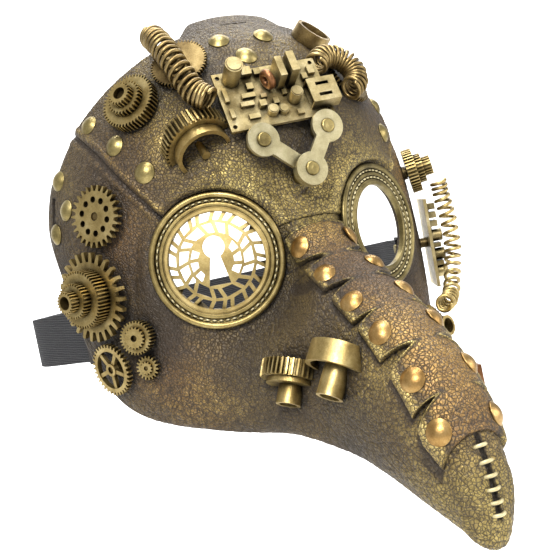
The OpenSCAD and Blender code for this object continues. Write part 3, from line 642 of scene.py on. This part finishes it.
def even_angles(count):
    """Angles whose spacing on the surface is even, averaged along the mask."""
    a = np.linspace(0.0, 360.0, 4001)
    density = 0
    for t in (0.3, 2.0, 4.0, 6.5):
        step = np.linalg.norm(np.diff(raw_skin(np.full_like(a, t), a), axis=0), axis=-1)
        density = density + step / step.sum()
    run = np.concatenate([[0], np.cumsum(density)])
    return np.interp(np.linspace(0, run[-1], count + 1), run, a)[:count]


def shell_piece():
    tip = LAST + (TIP_END - LAST) * np.sin(np.linspace(0, np.pi / 2, 26)[1:])
    t = np.concatenate([np.linspace(0, LAST, ROWS), tip])
    a = even_angles(COLS)
    tt, aa = np.meshgrid(t, a, indexing="ij")
    st = station(tt, aa)
    base, normal = skin(st, aa), outward(st, aa)
    h = leather(base)
    fade = smooth(tt / 0.12)
    on_top = np.sin(np.radians(aa)) > 0
    slit = smooth((0.05 + tt - SLIT_START) / 0.12) * smooth((SLIT_END - tt) / 0.1)
    across = np.abs(base[..., 0])
    groove = -1.1 * slit * (1 - smooth((across - 0.35) / 0.9)) * (base[..., 2] > -119) * on_top
    covered = smooth((36.5 - np.minimum(eye_space(base)[1], 60)) / 4)
    beside = across - strip_half(tt)
    on_strip = smooth((tt - STRIP_START + 0.1) / 0.15) * smooth((STRIP_END + 0.1 - tt) / 0.15)
    on_strip = on_strip * (np.sin(np.radians(aa)) > 0.1) * (beside > -2)
    trench = np.exp(-((beside - 0.3) / 0.9) ** 2) * on_strip
    off_panel = np.maximum(PANEL_LOW - aa, aa - PANEL_HIGH)
    off_panel = np.where((aa < 180) & (tt < 4.4), off_panel * DEGREE, 99)
    seam = np.exp(-((off_panel - 0.5) / 1.0) ** 2) * (off_panel > -3)
    ridge = 0.5 * np.exp(-((off_panel - 3.2) / 1.2) ** 2)
    groove = groove - 0.5 * trench - 0.45 * seam + ridge
    outer = base + (h * (1 - 0.85 * covered) * fade + groove - 0.25 * (1 - fade))[..., None] * normal
    inner = base - (WALL - 0.25 * (1 - fade))[..., None] * normal
    drop = cut_circle([outer, inner], True, SHELL_EYE_CUT)
    pts, faces, slots = closed_patch(outer, inner, True, drop)
    end = (len(t) - 1) * COLS
    n = len(t) * COLS
    tip_o, tip_i = outer[-1].mean(0), inner[-1].mean(0)
    pts = np.concatenate([pts, [tip_o, tip_i]])
    # the rim of the last ring is a wall; replace it by two fans, as thin quads
    wall = ((faces >= end) & (faces < n) | (faces >= end + n)).all(1) & (slots == 0)
    faces, slots = faces[~wall], slots[~wall]
    j = np.arange(0, COLS, 2)
    fan_o = np.stack([end + j, np.full_like(j, 2 * n), end + (j + 2) % COLS, end + (j + 1) % COLS], -1)
    fan_i = np.stack([n + end + (j + 1) % COLS, n + end + (j + 2) % COLS, np.full_like(j, 2 * n + 1),
                      n + end + j], -1)
    faces = np.concatenate([faces, fan_o, fan_i])
    slots = np.concatenate([slots, np.zeros(len(fan_o)), np.ones(len(fan_i))])
    tone_and_painted_light, tint = paint(base)
    # painted shade in the slit under the staples, a painted shadow line along the strip's edge and the
    # panel's seam, and a painted highlight on the ridge beside the seam
    tone_and_painted_light = tone_and_painted_light - 0.5 * slit * (1 - smooth((across - 0.6) / 1.2)) * on_top
    tone_and_painted_light = tone_and_painted_light - 0.45 * trench - 0.4 * seam + 0.2 * ridge
    both = [np.concatenate([v.ravel(), v.ravel(), v[-1, :1], v[-1, :1]]) for v in (tone_and_painted_light, tint, h)]
    obj = new_mesh("shell_skin", pts, faces, attributes=dict(zip(PAINT, both)), face_slots=slots)
    obj.data.materials.append(hide)
    obj.data.materials.append(lining)
    return obj


def slot_cutters():
    """A box through the shell for each of the three band slots."""
    parts = []
    for t, a, size in ((0.02, 91, (3, 13, 14)), (0.12, 167, (14, 3, 14)), (0.12, 13, (14, 3, 14))):
        m = on_skin(t, a)
        c = np.array([[x, y, z] for x in (-1, 1) for y in (-1, 1) for z in (-1, 1)], float)
        c = c * np.array(size) / 2
        f = np.array([[0, 1, 3, 2], [4, 6, 7, 5], [0, 4, 5, 1], [2, 3, 7, 6], [0, 2, 6, 4], [1, 5, 7, 3]])
        parts.append((moved(m, c), f))
    return new_mesh("slot_cutter", *join_parts(parts), smooth_shading=False)


def cut_away(obj, cutter):
    """Takes the cutter out of the piece's mesh, and says so if nothing is left of it."""
    m = obj.modifiers.new("cut", "BOOLEAN")
    m.operation = "DIFFERENCE"
    m.object = cutter
    m.solver = "MANIFOLD"
    bpy.context.view_layer.update()
    dg = bpy.context.evaluated_depsgraph_get()
    mesh = bpy.data.meshes.new_from_object(obj.evaluated_get(dg))
    obj.modifiers.remove(m)
    if len(mesh.polygons) > 1000:
        obj.data = mesh
    else:
        print("not cut:", obj.name)


def edge_round(s, width, total):
    """1 inside, falling to 0 over width at both ends of 0 to total."""
    d = np.minimum(s, total - s)
    return np.sqrt(np.maximum(0, 1 - (1 - np.clip(d / width, 0, 1)) ** 2))


def ends_dense(n):
    """Numbers from 0 to 1 that lie closer together at both ends."""
    u = np.linspace(0, 1, n)
    return 0.8 * u + 0.2 * (0.5 - 0.5 * np.cos(np.pi * u))


def panel_piece():
    rows, cols = ((230, 340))
    turn = PANEL_HIGH - PANEL_LOW
    t = PANEL_END * ends_dense(rows)
    a = PANEL_LOW + turn * ends_dense(cols)
    tt, aa = np.meshgrid(t, a, indexing="ij")
    base, normal = skin(tt, aa), outward(tt, aa)
    h = leather(base)
    side = edge_round((aa - PANEL_LOW) * DEGREE, 1.6, turn * DEGREE)
    side = side * edge_round(tt * STATION, 1.4, PANEL_END * STATION)
    inset = np.minimum(aa - PANEL_LOW, PANEL_HIGH - aa) * DEGREE
    bead = 0.8 * np.exp(-((inset - 2.4) / 1.2) ** 2)
    reach = eye_space(base)[1]
    brow = 2.0 * np.exp(-((reach - 33.6) / 3.0) ** 2) * smooth((base[..., 2] - 2) / 12)
    body = np.maximum(h, -0.55) * 0.8 + bead + brow
    outer = base + (PANEL_GAP + (PANEL_T + body) * side)[..., None] * normal
    inner = base + (PANEL_GAP - 0.3) * normal
    drop = cut_circle([outer, inner], False, BEZEL_R + 0.25)
    pts, faces, _ = closed_patch(outer, inner, False, drop)
    tone_and_painted_light, tint = paint(base)
    # lighter on the raised bead and the brow ridge round the eye rings: partly dry-brushed paint, partly
    # painted highlight
    tone_and_painted_light = tone_and_painted_light + 0.25 * bead + 0.16 * np.exp(-((reach - 33.2) / 3) ** 2)
    both = [np.concatenate([v.ravel()] * 2) for v in (tone_and_painted_light, tint, h)]
    obj = new_mesh("forehead_skin", pts, faces, attributes=dict(zip(PAINT, both)))
    obj.data.materials.append(panel_hide)
    return obj


TAB_AT = np.array([4.86, 5.62, 6.34, 6.98, 7.7, 8.35])
STRIP_START, STRIP_END = 4.5, 8.62


def ridge_angle(t, x):
    """The angle of the spot on top of the beak at station t that is x to the side."""
    s = through(SECTIONS, t)
    k = np.minimum(0.98, np.abs(x) / s[..., 4])
    return 90 + np.sign(-x) * (90 - np.degrees(np.arccos(k ** (s[..., 6] / 2))))


def strip_half(t):
    """Half the width of the scalloped strip at station t."""
    reach = smooth((0.355 - np.abs(t[..., None] - TAB_AT)) / 0.11).max(-1)
    return np.minimum(0.93 * through(SECTIONS, t)[..., 4], 7 + 8.6 * reach)


def strip_piece():
    rows, cols = ((420, 91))
    t = np.linspace(STRIP_START, STRIP_END, rows)
    f = np.sin(np.linspace(-1, 1, cols) * np.pi / 2)
    tt, ff = np.meshgrid(t, f, indexing="ij")
    half = strip_half(tt)
    x = ff * half
    aa = ridge_angle(tt, x)
    base, normal = skin(tt, aa), outward(tt, aa)
    h = leather(base, coarse=3.4)
    inset = half - np.abs(x)
    wall = edge_round((tt - STRIP_START) * STATION, 1.0, (STRIP_END - STRIP_START) * STATION)
    edge = np.sqrt(np.maximum(0, 1 - (1 - np.clip(inset / 1.0, 0, 1)) ** 2)) * wall
    bead = 0.6 * np.exp(-((inset - 1.5) / 0.9) ** 2)
    body = STRIP_GAP + STRIP_T - 0.05 + 0.6 * np.maximum(h, -0.5) + bead
    outer = base + (0.05 + body * edge)[..., None] * normal
    inner = base - 0.3 * normal
    pts, faces, _ = closed_patch(outer, inner)
    tone_and_painted_light, tint = paint(base)
    # lighter on the raised bead, partly dry-brushed paint and partly painted highlight, with a painted shade
    # line just inside it
    tone_and_painted_light = tone_and_painted_light - 0.06 + 0.45 * bead - 0.25 * np.exp(-((inset - 3.6) / 1.1) ** 2)
    tint = tint + 0.45 * smooth((inset - 3) / 3)
    both = [np.concatenate([v.ravel()] * 2) for v in (tone_and_painted_light, tint, h)]
    obj = new_mesh("strip_skin", pts, faces, attributes=dict(zip(PAINT, both)))
    obj.data.materials.append(strip_hide)
    return obj


def place(obj, node, material):
    """The piece rides on the mask and, if a node is named, stands for that CAD node."""
    if material is not None:
        obj.data.materials.clear()
        obj.data.materials.append(material)
    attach(obj, "mask")
    if node:
        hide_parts(node)


cutter = slot_cutters()
shell = shell_piece()
cut_away(shell, cutter)
forehead = panel_piece()
cut_away(forehead, cutter)
bpy.data.objects.remove(cutter)
place(shell, "mask_shell", None)
place(forehead, "forehead_panel", None)
place(strip_piece(), "beak_strip", None)


# ---------------------------------------------------------------- eye rings
def ring_piece(name, side, inner, channels, lip, node, material):
    """A turned ring with a raised lip, and a row of stitches in each channel."""
    outer_bead = BEZEL_R - 1.5
    top = 2.3
    outline = [(inner, 0.1), (inner, top + lip), (inner + 1.5, top + lip), (inner + 2.0, top)]
    for c in channels:
        outline += [(c - 1.0, top), (c - 0.7, top - 0.7), (c + 0.7, top - 0.7), (c + 1.0, top)]
    outline += [(outer_bead - 1.3, top)]
    outline += [(outer_bead + 1.5 * math.cos(w), 1.6 + 1.5 * math.sin(w)) for w in np.linspace(2.2, -1.3, 12)]
    outline += [(outer_bead, 0.1)]
    pts, faces = lathe(rounded(outline, 0.3), 180)
    ring = new_mesh(name, moved(at_eye(side), pts), faces[:, ::-1])
    place(ring, node, material)
    parts = []
    for c in channels:
        count = int(2 * math.pi * c / 2.9)
        for k in range(count):
            w, dw = 2 * math.pi * k / count, 1.0 / c
            a = (c * math.cos(w - dw), c * math.sin(w - dw), top - 0.45)
            b = (c * math.cos(w + dw), c * math.sin(w + dw), top - 0.45)
            parts.append(stitch(a, b, (0, 0, 1), 0.48, 0.5))
    pts, faces = join_parts(parts)
    sewn = new_mesh(name + "_stitches", moved(at_eye(side), pts), faces)
    place(sewn, None, thread)


ring_piece("right_ring", -1, LENS_R + 0.1, (26.2,), 0.8, "right_eye_bezel", ring_gold)
ring_piece("left_ring", 1, EYE_HOLE_R, (23.0, 26.4), 0.6, "left_eye_bezel", ring_olive)


# ---------------------------------------------------------------- pierced lens
LENS_RISE, LENS_T, LENS_BASE = 4.0, 1.4, 0.9
# inner radius, outer radius, number of windows and lean in degrees
WINDOW_RINGS = ((12.2, 16.4, 15, 7), (17.6, 21.2, 24, -4))


BAR = 1.7


def window_outline(r0, r1, a0, a1, lean):
    """A window between two spokes, with its sides leaning."""
    out = []
    for r, a, turn, side in ((r0, a0, 0, 1), (r1, a0, lean, 1), (r1, a1, lean, -1), (r0, a1, 0, -1)):
        w = math.radians(a + turn) + side * BAR / 2 / r
        out.append((r * math.cos(w), r * math.sin(w)))
    return out


def lens_windows():
    """The outlines of all windows, and that of the keyhole."""
    outlines = []
    for r0, r1, count, lean in WINDOW_RINGS:
        step = 360 / count
        a = [step * (k + 0.17 * math.sin(math.radians((k % count) * 137 + count * 20)))
             for k in range(count + 1)]
        outlines += [window_outline(r0, r1, a[k], a[k + 1], lean) for k in range(count)]
    for side in (-1, 1):
        for k in range(3):
            c = side * (57 + 30 * k)
            outlines.append(window_outline(7.8, 11.2, c - 15, c + 15, 4))
    key = [(-6 + 4.8 * math.cos(w), 4.8 * math.sin(w))
           for w in np.linspace(math.radians(28), math.radians(332), 40)]
    return outlines, key + [(10.5, -4.8), (10.5, 4.8)]


def prism(outline, low, high):
    n = len(outline)
    pts = [(x, y, z) for z in (low, high) for x, y in outline]
    faces = [tuple(range(n))[::-1], tuple(range(n, 2 * n))]
    faces += [(k, (k + 1) % n, n + (k + 1) % n, n + k) for k in range(n)]
    return pts, faces


def soften(obj, width, angle):
    """Rounds the sharp edges by so many metres, where the faces meet at more than so many degrees."""
    b = obj.modifiers.new("worn_edges", "BEVEL")
    b.width = width
    b.segments = 2
    b.limit_method = "ANGLE"
    b.angle_limit = math.radians(angle)
    b.harden_normals = True


def lens_piece():
    """A shallow dome, pierced, with its web's edges softened."""
    ball = (LENS_R ** 2 + LENS_RISE ** 2) / (2 * LENS_RISE)
    r = np.linspace(0.05, LENS_R - 2.6, 40)
    top = LENS_BASE + LENS_T + LENS_RISE - ball + np.sqrt(ball ** 2 - r ** 2)
    edge = [(LENS_R - 2.0, top[-1] + 0.7), (LENS_R - 0.8, top[-1] + 0.7), (LENS_R, top[-1]),
            (LENS_R, 0.5), (LENS_R - 2.6, 0.5)]
    steps = 180
    pts, faces = lathe(list(zip(r, top)) + edge + list(zip(r[::-1], top[::-1] - LENS_T)), steps)
    pts = pts[:-steps]  # the cut needs a mesh without the repeated ring
    faces = faces % len(pts)
    web = new_mesh("lens_web", moved(at_eye(-1), pts), faces[:, ::-1])
    outlines, key = lens_windows()
    all_pts, all_faces, base = [], [], 0
    for outline in outlines + [key]:
        p, f = prism(outline, -3, 12)
        all_pts += p
        all_faces += [tuple(base + v for v in face) for face in f]
        base += len(p)
    knife = new_mesh("lens_knife", moved(at_eye(-1), all_pts), all_faces, smooth_shading=False)
    cut_away(web, knife)
    bpy.data.objects.remove(knife)
    soften(web, 0.0002, 40)
    place(web, "right_eye_lens", lens_gold)


lens_piece()

# ---------------------------------------------------------------- springs
def skin_point(t, a, lift):
    return above(np.array(float(t)), np.array(float(a)), np.array(float(lift)))


brow_route = [skin_point(0.25, 113, 10.9), skin_point(0.75, 113.3, 12.5), skin_point(1.25, 113.3, 12.5),
              skin_point(1.8, 112.5, 10.5), skin_point(2.06, 110.2, 10.4)]
brow = new_mesh("brow_coil", *coil(brow_route, outward(np.array(1.0), np.array(112.0)), 19, 5, 0.95))
place(brow, "brow_spring", old_gold)
CURL_R = 10.0
curl_dir = unit(np.array([0.1, -0.85, 0.5]))
curl_route = [(-CURL_R * math.sin(w), CURL_R * math.cos(w), 0)
              for w in np.radians(np.arange(146, -76.5, -24.6))]
pts, faces = coil(curl_route, (0, 0, 1), 17, 4.6, 0.9)
curl = new_mesh("curl_coil", moved(facing((29.4, 3.0, 64.5), curl_dir), pts), faces)
place(curl, "curl_spring", old_gold)
HOSE = [(94.8, 32.6, 7.2), (95.7, 33.2, -0.3), (97.5, 33.4, -11.7), (97, 32.6, -25.9), (93.8, 31.4, -37.7),
        (85.5, 23.8, -48.2), (77, 15.5, -51.3), (68.8, 8, -51.4)]
hose = new_mesh("hose_coil", *coil(HOSE, (1, -0.4, 0), 20, 3.6, 0.9))
place(hose, "hose_spring", gold)

# ---------------------------------------------------------------- rivets
RIVET_R, RIVET_RISE = 4.6, 1.93


def rivets_piece(name, spots, lift, node, material):
    """Shallow domes with a thin flange, each a little different."""
    w = np.linspace(0.02, 1, 12)
    profile = [(RIVET_R * u, RIVET_RISE * (1 - u ** 2.2)) for u in w]
    profile += [(RIVET_R + 0.22, -0.12), (RIVET_R + 0.26, -0.4), (RIVET_R, -1.2), (0.1, -1.2)]
    pts, faces = lathe(profile, 48)
    parts = []
    for k, (t, a) in enumerate(spots):
        wobble = 1 + 0.05 * math.sin(k * 2.4) * np.cos(np.arctan2(pts[:, 1], pts[:, 0]) * 2 + k)
        p = pts * np.stack([wobble, wobble, np.ones(len(pts))], -1)
        parts.append((moved(on_skin(t, a, lift), p), faces))
    p, f = join_parts(parts)
    place(new_mesh(name, p, f[:, ::-1]), node, material)


beak_spots = [(t, ridge_angle(np.array(t), np.array(side * min(11.2, 0.72 * through(SECTIONS, t)[4]))))
              for t in TAB_AT for side in (-1, 1)]
rivets_piece("beak_domes", beak_spots, STRIP_GAP + STRIP_T + 0.3, "beak_rivets", rivet_orange)
rivets_piece("forehead_domes", [(0.7, 99), (0.77, 86), (1.28, 94.5), (0.35, 139.5), (1.35, 138.5), (2.2, 137),
                                (0.35, 40.5), (1.35, 41.5), (2.2, 43)],
             PANEL_GAP + PANEL_T + 0.3, "forehead_rivets", rivet_olive)
rivets_piece("temple_domes",
             [(0.12, 157.5), (0.72, 163.5), (0.3, 173.5), (0.12, 22.5), (0.72, 16.5), (0.3, 6.5)],
             0.3, "temple_rivets", rivet_olive)

# ---------------------------------------------------------------- pins and pegs, ending inside the wall
def posed(where, z_turn, y_turn, spin=0.0):
    """A frame turned as the CAD turns it, angles in degrees."""
    turns = [Matrix.Rotation(math.radians(w), 4, axis)
             for w, axis in ((z_turn, "Z"), (y_turn, "Y"), (spin, "Z"))]
    return Matrix.Translation(where) @ turns[0] @ turns[1] @ turns[2]


def turned_pieces(name, profiles, node, material):
    parts = []
    for matrix, profile in profiles:
        pts, faces = lathe(rounded(profile, 0.25, 3), 48)
        parts.append((moved(matrix, pts), faces[:, ::-1]))
    place(new_mesh(name, *join_parts(parts)), node, material)


BOARD_DIR = unit(np.array([-0.116, -0.888, 0.446]))
board_frame = posed((-4.7, 1.6, 58.1), math.degrees(math.atan2(BOARD_DIR[1], BOARD_DIR[0])),
                    math.degrees(math.acos(BOARD_DIR[2])), 1.9)
chain_frame = posed((0, -7.3, 30.6), -90, 82)
PEG_R = 2.6


def peg(low, high):
    """The profile of a plain peg."""
    return [(0.03, high), (PEG_R, high), (PEG_R, low), (0.03, low)]


pegs = [(on_skin(t, a), peg(-1.4, top))
        for t, a, top in ((1.0, 112, 3), (1.6, 62, 1.6), (1.62, 352, 4), (7.1, 6, 1.6))]
pegs += [(board_frame @ Matrix.Translation((0, y, 0)), peg(-low, 0)) for y, low in ((-14, 4.2), (14, 5.4))]
turned_pieces("glue_pegs", pegs, "trim_pegs", old_gold)
CHAIN_PINS = ((-8.4, -17.9, 4.8, 1.4, 7.4), (-9.7, 12.4, 6.6, 3.4, 6.5), (7.5, 0.1, 6.6, 1.4, 7.9))
heads = [(chain_frame @ Matrix.Translation((x, y, 0)),
          [(0.03, top), (2.6, top), (3.15, top - 0.6), (3.15, step), (4.4, step), (4.4, -foot),
           (0.03, -foot)])
         for x, y, top, step, foot in CHAIN_PINS]
turned_pieces("chain_studs", heads, "chain_pins", rivet_olive)

# ---------------------------------------------------------------- elastic band
BAND = [(-87, 70, -34), (-92, 88, -35), (-99, 112, -37), (-103, 136, -39), (-97, 160, -41), (-76, 178, -42),
        (-44, 187, -43), (0, 190, -43), (44, 187, -43), (76, 178, -42), (97, 160, -41), (103, 136, -39),
        (99, 112, -37), (92, 88, -35), (87, 70, -34)]
BAND_W, BAND_T = 26.0, 1.4


def band_piece():
    """Ribbed webbing along the loop, standing upright."""
    steps, ribs = 420, 15
    u = np.linspace(0, 1, steps)
    span = len(BAND) - 1

    def mid(v):
        return through(BAND, np.clip(v, 0, 1) * span)

    t = mid(u + 0.01) - mid(u - 0.01)
    side = unit(np.stack([t[:, 1], -t[:, 0], 0 * t[:, 0]], -1))
    h = BAND_W / 2
    z = np.linspace(-h + 0.3, h - 0.3, ribs * 8 + 1)
    swell = BAND_T / 2 * (0.86 + 0.14 * np.abs(np.sin(np.pi * ribs * (z + h) / BAND_W)))
    back = [(-s, w) for s, w in zip(swell[::-1], z[::-1])]
    loop = np.array([(s, w) for s, w in zip(swell, z)] + [(0, h)] + back + [(0, -h)])
    wave = 0.12 * np.sin(u * 900)[:, None] * (np.abs(loop[:, 1]) < h - 0.2)[None]
    off = (loop[:, 0] + wave * np.sign(loop[:, 0]) * 0.6)[..., None] * side[:, None]
    ring = mid(u)[:, None] + off + loop[None, :, 1, None] * np.array([0, 0, 1.0])
    ends = [ring[:1].mean(1, keepdims=True).repeat(ring.shape[1], 1), ring,
            ring[-1:].mean(1, keepdims=True).repeat(ring.shape[1], 1)]
    ring = np.concatenate(ends)
    faces = grid_faces(len(ring), ring.shape[1], wrap=True, flip=True)
    place(new_mesh("elastic_webbing", ring.reshape(-1, 3), faces), "elastic_band", elastic)


band_piece()

# ---------------------------------------------------------------- CAD pieces that are shown as they are
LOOKS = {
    gold: ["brow_step_gear", "brow_cup_gear", "brow_cup_collar", "ten_hole_gear", "star_gear", "small_gear",
           "tiny_gear", "spoke_gear", "cheek_ring_gear", "cheek_tube", "cheek_drum", "far_step_gear",
           "hose_gear", "hose_tube"],
    old_gold: ["brow_flat_gear", "curl_flat_gear", "curl_cup", "gear_posts"],
    pale: ["chain_link_long", "chain_link_short"],
    copper: ["board_inductor", "beak_clip"],
    board_gold: ["circuit_board", "board_capacitors", "board_chips", "usb_sockets", "far_board",
                 "far_board_parts"],
    rivet_olive: ["band_studs"],
    thread: ["beak_tip_stitches"],
    lining: ["band_patches"],
}
SHARP = {"beak_tip_stitches", "board_inductor"}  # round already, so no bevel
for material, names in LOOKS.items():
    for n in names:
        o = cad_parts[n]
        o.data.materials.clear()
        o.data.materials.append(material)
        o.data.polygons.foreach_set("use_smooth", np.ones(len(o.data.polygons), bool))
        if n not in SHARP:
            soften(o, 0.00022, 34)

# ---------------------------------------------------------------- floor, lights and camera
FLOOR_Z, BACK_Y, BEND = -0.36, 1.6, 0.8  # metres
sweep = [(-1.6, FLOOR_Z)] + [(BACK_Y - BEND + BEND * math.sin(w), FLOOR_Z + BEND - BEND * math.cos(w))
                             for w in np.linspace(0, math.pi / 2, 24)] + [(BACK_Y, 2.6)]
pts = [(x / MM, y / MM, z / MM) for y, z in sweep for x in (-3.0, 3.0)]
faces = [(2 * k, 2 * k + 1, 2 * k + 3, 2 * k + 2) for k in range(len(sweep) - 1)]
floor = new_mesh("studio_floor", pts, faces)
floor.data.materials.append(floor_material())

world = bpy.data.worlds.new("studio")
bpy.context.scene.world = world
world.use_nodes = True
world.node_tree.nodes["Background"].inputs[0].default_value = (0.93, 0.95, 1.0, 1)
world.node_tree.nodes["Background"].inputs[1].default_value = 0.5


def area_light(name, where, target, size, power, colour=(1, 1, 1)):
    """A rectangular light aimed at the target."""
    light = bpy.data.lights.new(name, "AREA")
    light.shape = "RECTANGLE"
    light.size, light.size_y = size
    light.energy = power
    light.color = colour
    obj = bpy.data.objects.new(name, light)
    obj.location = where
    obj.rotation_mode = "QUATERNION"
    obj.rotation_quaternion = (Vector(target) - Vector(where)).to_track_quat("-Z", "Y")
    bpy.context.scene.collection.objects.link(obj)


area_light("key", (-0.55, -0.85, 0.75), (0, 0, 0), (0.4, 0.4), 19, (1.0, 0.98, 0.95))
area_light("fill", (0.9, -0.7, 0.2), (0, 0, -0.02), (0.6, 0.6), 6, (1.0, 0.97, 0.94))
area_light("top", (0.05, -0.1, 0.95), (0, 0, 0), (0.5, 0.35), 9)
area_light("backdrop", (0.5, 0.7, 1.0), (0.4, 1.5, 0.0), (1.2, 0.6), 34)

# the photograph's viewpoint
CAMERA_AT = (-0.1796, -0.3580, 0.0159)
AIM, LIFT, ROLL = math.radians(24), math.radians(5), math.radians(10.7)
forward = Vector((math.sin(AIM) * math.cos(LIFT), math.cos(AIM) * math.cos(LIFT), -math.sin(LIFT)))
flat = Vector((math.cos(AIM), -math.sin(AIM), 0))
up0 = flat.cross(forward)
right = flat * math.cos(ROLL) - up0 * math.sin(ROLL)
up = flat * math.sin(ROLL) + up0 * math.cos(ROLL)
camera = bpy.data.objects.new("camera", bpy.data.cameras.new("camera"))
bpy.context.scene.collection.objects.link(camera)
camera.data.sensor_width = 36
camera.data.lens = 59.2
camera.data.clip_start = 0.02
camera.data.dof.use_dof = False
place_at = Matrix((right, up, -forward)).transposed().to_4x4()
place_at.translation = Vector(CAMERA_AT)
camera.matrix_world = place_at
bpy.context.scene.camera = camera
bpy.context.scene.view_settings.view_transform = "Standard"
